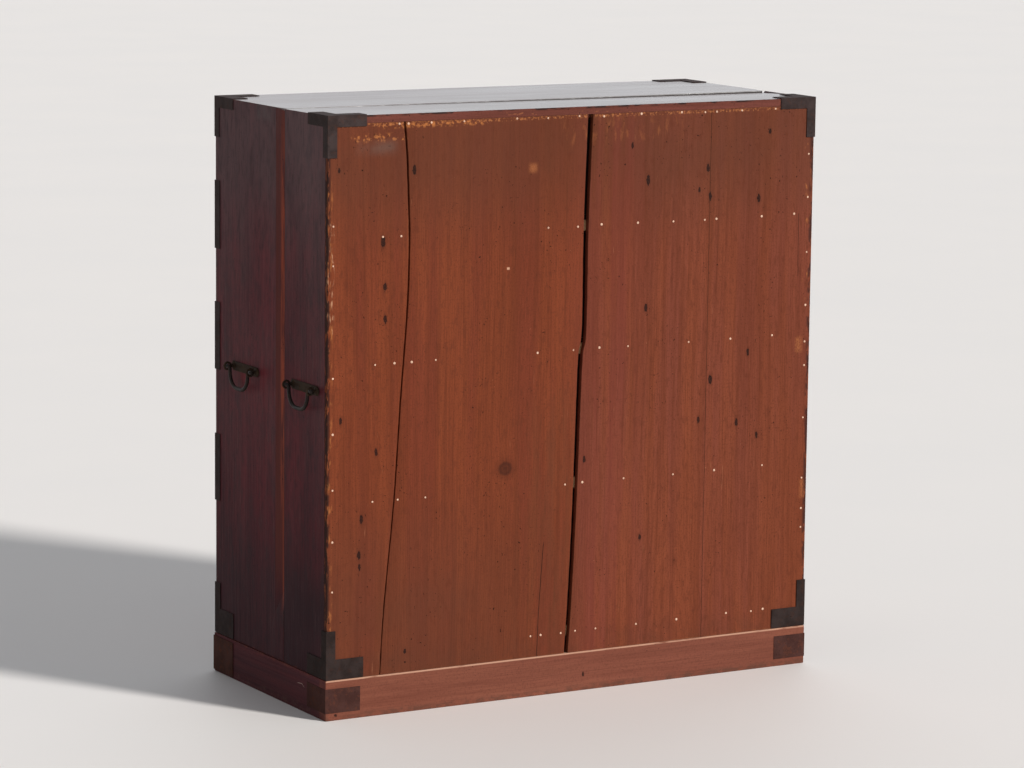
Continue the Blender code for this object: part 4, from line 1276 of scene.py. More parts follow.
@dataclass
class BackBoards:
    """Three upright back boards with two open seams, and the pegs that hold them."""

    seam_wavy: tuple[tuple[float, float], ...] = (
        (0.00, 0.1053), (0.12, 0.1127), (0.32, 0.1318), (0.50, 0.1436), (0.65, 0.1551),
        (0.72, 0.1583), (0.80, 0.1593), (0.87, 0.1570), (0.94, 0.1540), (1.00, 0.1487),
    )
    seam_open: tuple[tuple[float, float], ...] = (
        (0.00, 0.4853), (0.083, 0.4904), (0.19, 0.4956), (0.32, 0.5005), (0.47, 0.5048),
        (0.561, 0.5083), (0.58, 0.5126), (0.62, 0.5151), (0.75, 0.5156), (0.855, 0.5176), (1.00, 0.5227),
    )
    wavy_gaps: tuple[float, float] = (0.0015, 0.0035)
    open_gaps: tuple[float, float] = (0.0073, 0.0098)
    case_width: float = 0.944
    rows: int = 150
    edge_round: float = 0.0009
    edge_wander: float = 0.0004
    hollow: float = 0.0005

    round_knot: tuple[float, float, float] = (337, 397, 13.0)
    knot_spots: tuple[tuple[float, float, float], ...] = (
        (160, 907, 3.4), (103, 791, 4.0), (107, 717, 3.0), (108, 664, 3.0),
        (26, 501, 2.6), (92, 444, 2.6), (65, 334, 3.0), (61, 274, 3.0), (62, 254, 2.2),
        (22, 911, 2.2), (148, 104, 2.2), (610, 871, 3.6), (578, 931, 2.4), (855, 945, 2.4),
        (834, 830, 3.2), (730, 887, 3.2), (735, 838, 3.0), (713, 850, 2.2), (609, 653, 3.0),
        (742, 521, 3.6), (818, 564, 2.6), (719, 452, 2.6), (797, 442, 3.0), (839, 417, 2.6),
        (491, 401, 2.4), (604, 257, 2.6),
    )
    origin_x: float = 0.4736

    def world_x(self, photo_mm: float) -> float:
        """Place across the back, from millimetres counted from the chest's right edge."""
        return self.origin_x - photo_mm / 1000.0

    def edges(self, side: float, foot: float, head: float) -> list[Callable[[float], float]]:
        """The six upright edges of the three boards, from right to left.

        Args:
            side: half of the case's width.
            foot: the boards' lower end.
            head: the boards' upper end.

        Returns:
            For each edge, a function from height to place across.
        """
        courses = [lambda z: side]
        for seam, gaps, wander in ((self.seam_wavy, self.wavy_gaps, 7.0), (self.seam_open, self.open_gaps, 23.0)):
            for toward in (1, -1):
                def course(
                    z: float, seam: tuple = seam, gaps: tuple = gaps, toward: int = toward, wander: float = wander,
                ) -> float:
                    """Place across of this edge at a height."""
                    share = (z - foot) / (head - foot)
                    gap = gaps[0] + (gaps[1] - gaps[0]) * share
                    middle = side - smooth_course(seam, share) * self.case_width
                    ragged = noise.noise(Vector((z * 45.0, wander + toward, 0.0))) * self.edge_wander
                    ragged += noise.noise(Vector((z * 260.0, wander - toward, 4.0))) * self.edge_wander * 0.5
                    return middle + toward * gap / 2 + ragged
                courses.append(course)
        courses.append(lambda z: -side)
        return courses

    def section(self, right: float, left: float, inner: float, outer: float, z: float, seed: float) -> list[Vector]:
        """One board's section at a height, with rounded arrises and a slightly uneven face.

        Args:
            right: its right edge.
            left: its left edge.
            inner: its inner face.
            outer: its outer face.
            z: the height.
            seed: moves the unevenness.

        Returns:
            Points round the section.
        """
        turn = self.edge_round
        columns = 14
        points = [Vector((right, inner, z)), Vector((right, outer - turn, z))]
        points.append(Vector((right - turn * 0.3, outer - turn * 0.3, z)))
        for column in range(columns + 1):
            share = column / columns
            x = right - turn + (left - right + 2 * turn) * share
            dip = (noise.noise(Vector((x * 9.0, z * 1.6, seed))) + 1.0) / 2 * self.hollow
            fade = min(1.0, min(share, 1 - share) * 6.0)
            points.append(Vector((x, outer - dip * fade, z)))
        points.append(Vector((left + turn * 0.3, outer - turn * 0.3, z)))
        points += [Vector((left, outer - turn, z)), Vector((left, inner, z))]
        return points

    def hairlines(self) -> tuple[Hairline, ...]:
        """The glued joint of the left board and the fine cracks."""
        def line(points: Sequence[tuple[float, float]], width: float, share: float) -> Hairline:
            """A hairline from photo millimetres, lowest point first."""
            return Hairline(tuple((self.world_x(x), z / 1000.0) for x, z in points), width, share)
        return (
            line(((732.0, 60.0), (735.0, 990.0)), 0.0007, 0.75),
            line(((402.0, 67.0), (405.0, 150.0), (413.0, 264.0)), 0.0009, 0.85),
            line(((919.0, 690.0), (917.0, 800.0)), 0.0008, 0.7),
        )

    def patches(self) -> tuple[Patch, ...]:
        """Scrapes, flecks, nibbled edges and darker bands that the back shows; the band across the top is painted
        shade.
        """
        def spot(x: float, z: float, wide: float, tall: float, colour: Colour, **more: float) -> Patch:
            """A patch round a point given in photo millimetres."""
            middle = self.world_x(x)
            return Patch(
                ((middle - wide / 2, middle + wide / 2), None, (z / 1000.0 - tall / 2, z / 1000.0 + tall / 2)),
                colour, **more,
            )
        orange = (0.42, 0.150, 0.045)
        pale = (0.50, 0.27, 0.16)
        # A darker colour laid in three broad patches below: the first, across the top of the back, is painted shade;
        # the next two make the lower right-hand part and the foot of the back darker.
        dirt_and_shade = (0.085, 0.028, 0.015)
        return (
            spot(470, 1010, 1.2, 0.36, dirt_and_shade, share=0.62, soft=0.10, scale=7.0, cover=0.80, spread=0.4),
            spot(60, 60, 0.60, 0.46, dirt_and_shade, share=0.62, soft=0.14, scale=7.0, cover=0.78, spread=0.4),
            spot(470, 520, 1.2, 1.2, (0.090, 0.022, 0.010), share=0.45, grain_stretch=0.30, scale=150.0, cover=0.40,
                 spread=0.08),
            spot(470, 40, 1.2, 0.12, dirt_and_shade, share=0.45, soft=0.03, scale=40.0, cover=0.50, spread=0.3),
            spot(430, 300, 0.10, 0.42, (0.090, 0.036, 0.016), share=0.40, soft=0.05, grain_stretch=0.08,
                 scale=55.0, cover=0.46, spread=0.2),
            spot(535, 520, 0.11, 0.95, (0.158, 0.034, 0.025), share=0.40, soft=0.03, grain_stretch=0.05,
                 scale=45.0, cover=0.50, spread=0.2),
            spot(385, 901, 0.014, 0.014, (0.32, 0.110, 0.040), share=0.75, soft=0.005, scale=620.0, cover=0.58,
                 spread=0.25),
            spot(339, 735, 0.005, 0.004, (0.5, 0.28, 0.18), share=0.9, soft=0.001, cover=0.7),
            spot(470, 984, 0.90, 0.006, (0.34, 0.125, 0.045), share=0.75, soft=0.0015, scale=210.0, cover=0.44,
                 spread=0.08),
            spot(190, 981, 0.20, 0.008, orange, share=0.75, soft=0.003, scale=170.0, cover=0.44, spread=0.08),
            spot(560, 958, 0.24, 0.040, (0.30, 0.098, 0.034), share=0.32, soft=0.014, grain_stretch=0.30, scale=130.0,
                 cover=0.38, spread=0.10),
            spot(95, 962, 0.10, 0.012, orange, share=0.7, soft=0.004, scale=170.0, cover=0.42, spread=0.08),
            spot(923, 570, 0.012, 0.026, (0.32, 0.110, 0.040), share=0.7, soft=0.005, grain_stretch=0.4,
                 scale=520.0, cover=0.52, spread=0.2),
            spot(937, 314, 0.010, 0.032, (0.32, 0.110, 0.040), share=0.7, soft=0.004, grain_stretch=0.4,
                 scale=520.0, cover=0.52, spread=0.2),
            spot(935, 800, 0.012, 0.30, orange, share=0.7, soft=0.004, grain_stretch=0.3, scale=120.0, cover=0.34),
            spot(7, 735, 0.012, 0.18, pale, share=0.85, soft=0.003, grain_stretch=0.22, scale=260.0, cover=0.38),
            spot(6, 500, 0.008, 0.80, orange, share=0.7, soft=0.003, grain_stretch=0.25, scale=150.0, cover=0.40),
            spot(92, 946, 0.07, 0.016, (0.115, 0.080, 0.066), share=0.55, soft=0.012, scale=26.0, cover=0.62,
                 spread=0.25),
            spot(0, 520, 0.0110, 0.94, (0.022, 0.010, 0.009), share=0.92, soft=0.0030, grain_stretch=0.34,
                 scale=120.0, cover=0.56, spread=0.05),
            spot(944, 520, 0.0100, 0.94, (0.030, 0.012, 0.010), share=0.85, soft=0.0030, grain_stretch=0.34,
                 scale=120.0, cover=0.50, spread=0.05),
        )

    def build(self) -> None:
        """Make the three boards in place of the plain ones."""
        right_low, right_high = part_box("back_board_1")
        inner, outer = right_low.y, right_high.y
        foot, head = right_low.z, right_high.z
        courses = self.edges(right_high.x, foot, head)
        pith = ((0.44, 0.10, 0.05), (0.046, 0.155, 0.10), (-0.19, 0.10, 0.06))
        for number in range(3):
            right, left = courses[2 * number], courses[2 * number + 1]
            name = "back_board_" + str(number + 1)
            bm = bmesh.new()
            rings = []
            for row in range(self.rows + 1):
                z = foot + (head - foot) * row / self.rows
                rings.append(self.section(right(z), left(z), inner, outer, z, 3.0 * number))
            add_loft(bm, rings)
            mesh = mesh_of(name + "_sawn", bm, smooth=True)
            low, high = low_high(mesh)
            knots = [
                Knot(self.world_x(x), z / 1000.0, size / 1000.0)
                for x, z, size in self.knot_spots if low[0] < self.world_x(x) < high[0]
            ]
            x, z, size = self.round_knot
            if low[0] < self.world_x(x) < high[0]:
                knots.append(Knot(self.world_x(x), z / 1000.0, size / 1000.0, 0.9, 0.52))
            across, depth, lean = pith[number]
            board = Board(
                low, high, Axis.Z, Axis.X, Axis.Y, 31.0 + 4.3 * number,
                pith_across=across, pith_depth=depth, pith_lean=lean,
                knots=tuple(knots), patches=self.patches(), hairlines=self.hairlines() if number else (),
            )
            cedar = LEFT_CEDAR if number == 2 else CEDAR
            material = cedar.material(name + "_cedar", board)
            add_piece(name + "_sawn", mesh, "chest", material, (name,))


@dataclass
class BackPegs:
    """Heads of the pegs along the top, the shelves, the floor and the two ends."""

    rows: tuple[tuple[float, tuple[float, ...]], ...] = (
        (0.9835, (0.138, 0.156, 0.201, 0.266, 0.372, 0.435, 0.499, 0.550, 0.628, 0.713, 0.763, 0.788, 0.842, 0.9146)),
        (0.799, (0.107, 0.143, 0.438, 0.499, 0.548, 0.624, 0.699, 0.766, 0.791, 0.889, 0.960)),
        (0.590, (0.093, 0.131, 0.165, 0.213, 0.419, 0.493, 0.547, 0.607, 0.736, 0.826, 0.917)),
        (0.361, (0.089, 0.139, 0.194, 0.479, 0.515, 0.602, 0.707, 0.796, 0.901)),
        (0.105, (0.411, 0.432, 0.474, 0.504, 0.547, 0.633, 0.720, 0.828, 0.883, 0.909)),
    )
    right_heights: tuple[float, ...] = (0.162, 0.251, 0.345, 0.447, 0.549, 0.748, 0.819)
    left_heights: tuple[float, ...] = (0.192, 0.230, 0.288, 0.406, 0.505, 0.552, 0.622, 0.723, 0.828, 0.909)
    end_inset: float = 0.010
    case_width: float = 0.944
    head_radius: float = 0.0019
    head_spread: float = 0.0003
    head_height: float = 0.0004
    sink: float = 0.002

    def spots(self) -> list[tuple[float, float]]:
        """Every peg's place across and its height."""
        low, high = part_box("back_board_1")
        side = high.x
        rise = high.z - low.z
        found = []
        for z, shares in self.rows:
            found += [(side - share * self.case_width, z) for share in shares]
        found += [(side - self.end_inset, low.z + share * rise) for share in self.right_heights]
        found += [(self.end_inset - side, low.z + share * rise) for share in self.left_heights]
        return found

    def build(self) -> None:
        """Make all the heads as one piece."""
        draw = random.Random(11)
        _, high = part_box("back_board_1")
        bm = bmesh.new()
        for x, z in self.spots():
            radius = self.head_radius + draw.uniform(-1, 1) * self.head_spread
            z += draw.uniform(-1, 1) * self.head_spread * 4
            foot = Vector((x, high.y, min(z, high.z - radius * 1.2)))
            add_turned(bm, foot, Vector((0, 1, 0)), rounded_head(radius, self.head_height, self.sink), 12)
        mesh = mesh_of("back_pegs", bm, smooth=True)
        add_piece("back_pegs", mesh, "chest", PegWood().material("peg_end_grain"))


@dataclass
class TopRearBoard:
    """The top's rear board, which has sunk a little below the front one along their seam."""

    right_dip: float = 0.0005
    left_dip: float = 0.0034
    fade: float = 0.110
    cuts_across: int = 24
    cuts_deep: int = 10
    edge_facing: float = 0.7

    def build(self) -> None:
        """Cut the node's shape into strips and let its seam edge down."""
        source = bpy.data.objects["top_rear_board"]
        low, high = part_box("top_rear_board")
        bm = bmesh.new()
        bm.from_mesh(source.data)
        bmesh.ops.remove_doubles(bm, verts=bm.verts, dist=WELD_DISTANCE)
        bmesh.ops.dissolve_limit(bm, angle_limit=math.radians(1.0), verts=bm.verts, edges=bm.edges)
        for axis, count in ((Axis.X, self.cuts_across), (Axis.Y, self.cuts_deep)):
            for step in range(1, count):
                share = step / count
                plane = low + (high - low) * share
                normal = Vector((0, 0, 0))
                normal[axis.value] = 1
                geometry = bm.verts[:] + bm.edges[:] + bm.faces[:]
                bmesh.ops.bisect_plane(bm, geom=geometry, plane_co=plane, plane_no=normal)
        middle = (low.z + high.z) / 2
        for vertex in bm.verts:
            if vertex.co.z > middle:
                share = (high.x - vertex.co.x) / (high.x - low.x)
                depth = self.right_dip + (self.left_dip - self.right_dip) * share
                away = max(0.0, 1.0 - (vertex.co.y - low.y) / self.fade)
                vertex.co.z -= depth * away ** 1.5
        mesh = mesh_of("top_rear_board_sunk", bm)
        chips = Patch(
            (None, (high.y - 0.006, high.y + 0.01), (high.z - 0.003, high.z + 0.01)), (0.018, 0.010, 0.009),
            0.90, 0.001, 0.30, 120.0, 0.46, 0.06,
        )
        flecks = Patch((None, None, None), (0.340, 0.120, 0.050), 0.60, 0.001, 0.40, 190.0, 0.30, 0.06)
        board = Board(
            tuple(low), tuple(high), Axis.X, Axis.Y, Axis.Z, 9.4, pith_across=0.16, pith_depth=0.88, pith_lean=0.02,
            patches=(chips,),
        )
        edge = replace(board, across=Axis.Z, depth=Axis.Y, patches=(flecks, chips))
        piece = add_piece(
            "top_rear_board_sunk", mesh, "chest",
            TOP_LACQUER.material("top_rear_lacquer", board), ("top_rear_board",),
        )
        mesh.materials.append(TOP_EDGE.material("top_rear_edge", edge))
        for face in mesh.polygons:
            face.material_index = 1 if face.normal.y > self.edge_facing else 0
        soften(piece, 0.0009)


@dataclass
class Bail:
    """A handle's bar: the same bends as its node, drawn finer, with forged tips."""

    eye_spacing: float
    drop: float
    radius: float = 0.0034
    arm_radius: float = 0.0030
    tip_length: float = 0.0055
    eye_thickness: float = 0.0040
    eye_space: float = 0.0012
    bend_radius: float = 0.0060
    corner_radius: float = 0.018
    bend_steps: int = 8
    corner_steps: int = 10

    def half(self) -> list[tuple[float, float, float]]:
        """Points from the tip to the middle of the grip: out along the pivot, down, and radius."""
        eye = self.eye_spacing / 2
        tip = eye + self.eye_thickness / 2 + self.tip_length
        arm = eye - self.eye_thickness / 2 - self.eye_space - self.bend_radius
        swell = self.radius * 1.10
        points = [(tip, 0.0, swell * 0.45), (tip - 0.0006, 0.0, swell * 0.8), (tip - 0.0018, 0.0, swell)]
        points += [(tip - 0.0036, 0.0, swell * 0.94), (tip - 0.0050, 0.0, self.arm_radius)]
        for step in range(self.bend_steps + 1):
            angle = math.pi / 2 * step / self.bend_steps
            u = arm + self.bend_radius * (1.0 - math.sin(angle))
            v = -self.bend_radius * (1.0 - math.cos(angle))
            points.append((u, v, self.arm_radius))
        for step in range(self.corner_steps + 1):
            angle = math.pi / 2 * step / self.corner_steps
            share = step / self.corner_steps
            u = arm - self.corner_radius * (1.0 - math.cos(angle))
            v = -self.drop + self.corner_radius * (1.0 - math.sin(angle))
            points.append((u, v, self.arm_radius + (self.radius - self.arm_radius) * share))
        return points

    def mesh(self, name: str, pivot: Vector, along: Vector) -> bpy.types.Mesh:
        """The bar hanging from its pivot.

        Args:
            name: the mesh's name.
            pivot: middle of its two eyes.
            along: direction from eye to eye.

        Returns:
            The mesh.
        """
        half = self.half()
        both = half + [(-u, v, radius) for u, v, radius in reversed(half)]
        up = Vector((0, 0, 1))
        points = [pivot + along * u + up * v for u, v, _ in both]
        bm = bmesh.new()
        add_tube(bm, points, [radius for _, _, radius in both], 12)
        return mesh_of(name, bm, smooth=True)


@dataclass
class HandlePlate:
    """A handle's back plate with its two eyes, each on a rosette."""

    eye_spacing: float
    shank: float = 0.0
    shank_width: float = 0.0036
    clench_tall: float = 0.0156
    clench_thick: float = 0.0015
    end_margin: float = 0.013
    height: float = 0.018
    chamfer: float = 0.005
    standoff: float = 0.0130
    eye_reach: float = 0.0060
    eye_thickness: float = 0.0018
    eye_width: float = 0.0020
    neck_radius: float = 0.0034
    rosette_radius: float = 0.0074
    rosette_height: float = 0.0016

    def outline(self) -> Ring:
        """The back plate with its corners cut."""
        half = self.eye_spacing / 2 + self.end_margin
        high = self.height / 2
        cut = self.chamfer
        return [
            (-half, cut - high), (cut - half, -high), (half - cut, -high), (half, cut - high),
            (half, high - cut), (half - cut, high), (cut - half, high), (-half, high - cut),
        ]

    def mesh(self, name: str, pivot: Vector, along: Vector, outward: Vector) -> bpy.types.Mesh:
        """The plate, its rosettes and its eyes as one piece.

        Args:
            name: the mesh's name.
            pivot: middle of the two eyes.
            along: direction from eye to eye.
            outward: direction away from the board.

        Returns:
            The mesh.
        """
        foot = pivot - outward * self.standoff
        plane = frame_of(along, (0, 0, 1), foot + outward * (AIR + IRON_THICKNESS / 2))
        plate = plate_mesh(name + "_plate", [self.outline()], IRON_THICKNESS, plane)
        bm = bmesh.new()
        bm.from_mesh(plate)
        bpy.data.meshes.remove(plate)
        arrises = [edge for edge in bm.edges if edge.calc_face_angle(0.0) > BEVEL_ANGLE]
        bmesh.ops.bevel(bm, geom=arrises, offset=0.0003, segments=2, profile=0.5, affect="EDGES")
        surface = AIR + IRON_THICKNESS
        for side in (-1, 1):
            eye = foot + along * (side * self.eye_spacing / 2)
            rosette = [
                (self.rosette_radius, surface - 0.0002), (self.rosette_radius, surface + 0.0004),
                (self.rosette_radius * 0.80, surface + self.rosette_height * 0.75),
                (self.rosette_radius * 0.55, surface + self.rosette_height),
                (self.neck_radius, surface + self.rosette_height),
            ]
            add_turned(bm, eye, outward, rosette, 20)
            neck = [
                (self.neck_radius, surface + self.rosette_height - 0.0006),
                (self.neck_radius * 0.86, surface + 0.0035),
                (self.neck_radius * 0.80, self.standoff - self.eye_reach),
            ]
            add_turned(bm, eye, outward, neck, 14)
            centre = eye + outward * self.standoff
            add_ring(bm, centre, along, self.eye_reach, self.eye_thickness, self.eye_width)
            if self.shank > 0:
                half = along * (self.shank_width / 2)
                rise = Vector((0, 0, self.shank_width / 2))
                tall = Vector((0, 0, self.clench_tall / 2))
                inner = eye - outward * (self.shank + AIR)
                add_box(bm, eye - half - rise, inner + half + rise)
                add_box(bm, inner - half - tall, inner - outward * self.clench_thick + half + tall)
            for end in (-1, 1):
                nail = foot + along * (end * self.eye_spacing * 0.22)
                if side > 0:
                    add_turned(bm, nail + outward * surface, outward, rounded_head(0.0016, 0.0007, 0.0003), 10)
        return mesh_of(name, bm, smooth=True)


@dataclass
class Handles:
    """All twelve handles, in place of their nodes."""

    side_spacing: float = 0.0864
    side_drop: float = 0.034
    side_corner: float = 0.026
    drawer_spacing: float = 0.104
    drawer_drop: float = 0.052
    side_margin: float = 0.0085
    side_height: float = 0.0160
    drawer_corner: float = 0.018
    front_thickness: float = 0.020

    def one(
        self, bail_node: str, plate_node: str, carrier: str, along: Vector, outward: Vector,
        bail: Bail, fixing: HandlePlate, irons: tuple[bpy.types.Material, bpy.types.Material],
    ) -> None:
        """Make one handle where its nodes are.

        Args:
            bail_node: the bail's node and body.
            plate_node: the plate's node.
            carrier: the body that carries the plate.
            along: direction from eye to eye.
            outward: direction away from the board.
            bail: the bail's sizes.
            fixing: the plate's sizes.
            irons: the bail's material and the plate's.
        """
        low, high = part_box(plate_node)
        middle = (low + high) / 2
        bail_low, bail_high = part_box(bail_node)
        hang = (bail_low + bail_high) / 2
        pivot = Vector(middle)
        for axis in range(3):
            if abs(outward[axis]) > 0.5:
                pivot[axis] = hang[axis]
        bar = bail.mesh(bail_node + "_forged", pivot, along)
        add_piece(bail_node + "_forged", bar, bail_node, irons[0], (bail_node,))
        plate = fixing.mesh(plate_node + "_forged", pivot, along, outward)
        add_piece(plate_node + "_forged", plate, carrier, irons[1], (plate_node,))

    def build(self) -> None:
        """Make the carrying handles and the drawers' handles."""
        iron = HANDLE_IRON.material("handle_iron", 1.7)
        plate = PLATE_IRON.material("handle_plate_iron", 2.6)
        bail = Bail(self.side_spacing, self.side_drop, corner_radius=self.side_corner)
        fixing = HandlePlate(self.side_spacing, end_margin=self.side_margin, height=self.side_height)
        for side, sign in (("right", 1), ("left", -1)):
            for place in ("front", "rear"):
                name = side + "_" + place
                self.one(
                    "side_bail_" + name, "side_handle_plate_" + name, "chest",
                    Vector((0, 1, 0)), Vector((sign, 0, 0)), bail, fixing, (iron, plate),
                )
        bail = Bail(self.drawer_spacing, self.drawer_drop, corner_radius=self.drawer_corner)
        fixing = HandlePlate(self.drawer_spacing, self.front_thickness)
        for number in range(1, 5):
            for side in ("left", "right"):
                drawer = "drawer_" + str(number)
                self.one(
                    drawer + "_bail_" + side, drawer + "_handle_plate_" + side, drawer,
                    Vector((1, 0, 0)), Vector((0, -1, 0)), bail, fixing, (iron, iron),
                )


@dataclass
class Drawer:
    """One drawer: lacquered front, pale boards keyed together behind it, pegs and corner irons."""

    number: int
    scene: dict
    iron: bpy.types.Material
    pegs: bpy.types.Material
    wall: float = 0.012
    back: float = 0.010
    bottom: float = 0.008
    fingers: int = 7
    board_bevel: float = 0.0006
    front_bevel: float = 0.0012
    peg_radius: float = 0.0021
    peg_spacing: float = 0.062
    iron_leg: float = 0.042
    iron_width: float = 0.0125
    iron_thick: float = 0.0009
    iron_margin: float = 0.0010
    nail_radius: float = 0.0018

    def __post_init__(self) -> None:
        """Read the drawer's boxes from the frame."""
        self.name = "drawer_" + str(self.number)
        self.low, self.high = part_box(self.name + "_box")
        self.front_low, self.front_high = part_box(self.name + "_front")

    def keyed_edge(self, long: float, short: float, first_long: bool) -> list[tuple[float, float]]:
        """An edge cut into fingers that fit between the next board's.

        Args:
            long: where the fingers end.
            short: where the gaps between them end.
            first_long: whether the lowest one is a finger.

        Returns:
            Its points from the bottom up.
        """
        foot = self.low.z + self.bottom + AIR
        step = (self.high.z - foot) / self.fingers
        points = []
        for index in range(self.fingers):
            is_long = (index % 2 == 0) == first_long
            reach = long if is_long else short
            ease = AIR / 2 if is_long else -AIR / 2
            start = foot + index * step + (ease if index else 0.0)
            last = index == self.fingers - 1
            end = foot + (index + 1) * step - (0.0 if last else ease)
            points += [(reach, start), (reach, end)]
        return points

    def side_mesh(self, name: str, sign: int) -> bpy.types.Mesh:
        """One side board, square in front and keyed behind."""
        edge = self.keyed_edge(self.high.y, self.high.y - self.back - AIR, True)
        near = self.low.y
        outline = [(near, edge[0][1])] + edge + [(near, edge[-1][1])]
        middle = sign * (self.high.x - self.wall / 2)
        return plate_mesh(name, [outline], self.wall, frame_of((0, 1, 0), (0, 0, 1), (middle, 0, 0)))

    def back_mesh(self, name: str) -> bpy.types.Mesh:
        """The back board, keyed at both ends."""
        right = self.keyed_edge(self.high.x, self.high.x - self.wall - AIR, False)
        outline = right + [(-x, z) for x, z in reversed(right)]
        middle = self.high.y - self.back / 2
        return plate_mesh(name, [outline], self.back, frame_of((1, 0, 0), (0, 0, 1), (0, middle, 0)))

    def boards(self) -> None:
        """The sides, back and bottom, in place of the plain box."""
        seed = 41.0 + 3.7 * self.number
        node = self.name + "_box"
        # A near-black band on the box's rear end: painted shade, which keeps the open seams of the chest's back dark.
        soot_and_shade = Patch(
            (None, (self.high.y - 0.0008, self.high.y + 0.01), None), (0.010, 0.006, 0.005), 1.0, 0.0003, 1.0, 20.0, 1.2,
        )
        handled = Patch((None, None, (self.high.z - 0.004, self.high.z + 0.01)), (0.20, 0.12, 0.07), 0.6, 0.003,
                        0.2, 60.0, 0.6, 0.2)
        dust = Patch((None, None, (self.low.z, self.low.z + self.bottom + 0.006)), (0.24, 0.17, 0.12), 0.5, 0.006,
                     0.5, 30.0, 0.5, 0.2)
        patches = (handled, dust, soot_and_shade)
        low, high = tuple(self.low), tuple(self.high)
        run = Board(low, high, Axis.Y, Axis.Z, Axis.X, seed, pith_across=low[2], pith_depth=0.40, patches=patches)
        sides = INNER_WOOD.material(self.name + "_side_wood", run)
        cross = Board(low, high, Axis.X, Axis.Y, Axis.Z, seed + 1.3, pith_depth=low[2] - 0.07, patches=patches)
        others = INNER_WOOD.material(self.name + "_bottom_wood", cross)
        for side, sign in (("right", 1), ("left", -1)):
            name = self.name + "_side_" + side
            piece = add_piece(name, self.side_mesh(name, sign), self.name, sides, (node,))
            soften(piece, self.board_bevel, 1)
        name = self.name + "_back"
        piece = add_piece(name, self.back_mesh(name), self.name, others, (node,))
        soften(piece, self.board_bevel, 1)
        name = self.name + "_bottom"
        bm = bmesh.new()
        add_box(bm, self.low, (self.high.x, self.high.y, self.low.z + self.bottom))
        piece = add_piece(name, mesh_of(name, bm), self.name, others, (node,))
        soften(piece, self.board_bevel, 1)

    def peg_heads(self) -> None:
        """Pegs through the sides into the bottom, the back and the front."""
        bm = bmesh.new()
        profile = [(self.peg_radius, -0.001), (self.peg_radius, 0.0001), (self.peg_radius * 0.8, 0.0003)]
        foot = self.low.z + self.bottom / 2
        depth = self.high.y - self.low.y
        count = int(depth / self.peg_spacing)
        rise = (self.high.z - foot) / 4
        for sign in (1, -1):
            spots = [(self.low.y + depth * (step + 0.5) / count, foot) for step in range(count)]
            spots += [(self.high.y - self.back / 2, foot + rise * step) for step in (1, 2, 3)]
            spots += [((self.front_low.y + self.front_high.y) / 2, foot + rise * step) for step in (1, 2, 3)]
            for y, z in spots:
                add_turned(bm, Vector((sign * self.high.x, y, z)), Vector((sign, 0, 0)), profile, 10)
        name = self.name + "_pegs"
        add_piece(name, mesh_of(name, bm, smooth=True), self.name, self.pegs)

    def corner_irons(self) -> None:
        """An angle of thin iron on each corner of the front."""
        bm = bmesh.new()
        leg, wide = self.iron_leg, self.iron_width
        face = self.front_low.y - AIR - self.iron_thick
        for sx in (1, -1):
            for sz in (1, -1):
                x = (self.front_high.x if sx > 0 else self.front_low.x) - sx * self.iron_margin
                z = (self.front_high.z if sz > 0 else self.front_low.z) - sz * self.iron_margin
                corner = [(0, 0), (leg, 0), (leg, wide), (wide, wide), (wide, leg), (0, leg)]
                outline = [(x - sx * u, z - sz * v) for u, v in corner]
                add_loft(bm, [[Vector((u, y, v)) for u, v in outline] for y in (face, face + self.iron_thick)])
        arrises = [edge for edge in bm.edges if edge.calc_face_angle(0.0) > BEVEL_ANGLE]
        bmesh.ops.bevel(bm, geom=arrises, offset=0.0003, segments=1, profile=0.5, affect="EDGES")
        head = rounded_head(self.nail_radius, 0.0007, 0.0004)
        half = wide / 2
        for sx in (1, -1):
            for sz in (1, -1):
                x = (self.front_high.x if sx > 0 else self.front_low.x) - sx * self.iron_margin
                z = (self.front_high.z if sz > 0 else self.front_low.z) - sz * self.iron_margin
                for u, v in ((half, half), (leg - half, half), (half, leg - half)):
                    add_turned(bm, Vector((x - sx * u, face, z - sz * v)), Vector((0, -1, 0)), head, 12)
        name = self.name + "_corner_irons"
        add_piece(name, mesh_of(name, bm, smooth=True), self.name, self.iron)

    def front(self) -> None:
        """The front's lacquer over figured wood, darkened and rubbed round the handles."""
        patches = []
        for side in ("left", "right"):
            low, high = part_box(self.name + "_bail_" + side)
            around = ((low.x + 0.01, high.x - 0.01), None, (low.z + 0.005, high.z - 0.01))
            patches.append(Patch(around, (0.045, 0.014, 0.011), 0.55, 0.045, 0.6, 14.0, 0.64, 0.40))
            rubbed = ((low.x + 0.035, high.x - 0.035), None, (low.z, low.z + 0.006))
            patches.append(Patch(rubbed, (0.19, 0.062, 0.038), 0.45, (0.012, 0.012, 0.006), 0.8, 30.0, 0.62, 0.35))
        board = Board(
            tuple(self.front_low), tuple(self.front_high), Axis.X, Axis.Z, Axis.Y, 61.0 + 2.3 * self.number,
            pith_across=self.front_low.z + 0.04 * self.number, pith_depth=self.front_high.y + 0.05, pith_lean=0.05,
            patches=tuple(patches),
        )
        node = self.scene["nodes"][self.name + "_front"]
        node.data.materials.clear()
        node.data.materials.append(FRONT_LACQUER.material(self.name + "_front_lacquer", board))
        soften(node, self.front_bevel, weld=True)

    def build(self) -> None:
        """Dress the whole drawer."""
        self.front()
        self.boards()
        self.peg_heads()
        self.corner_irons()


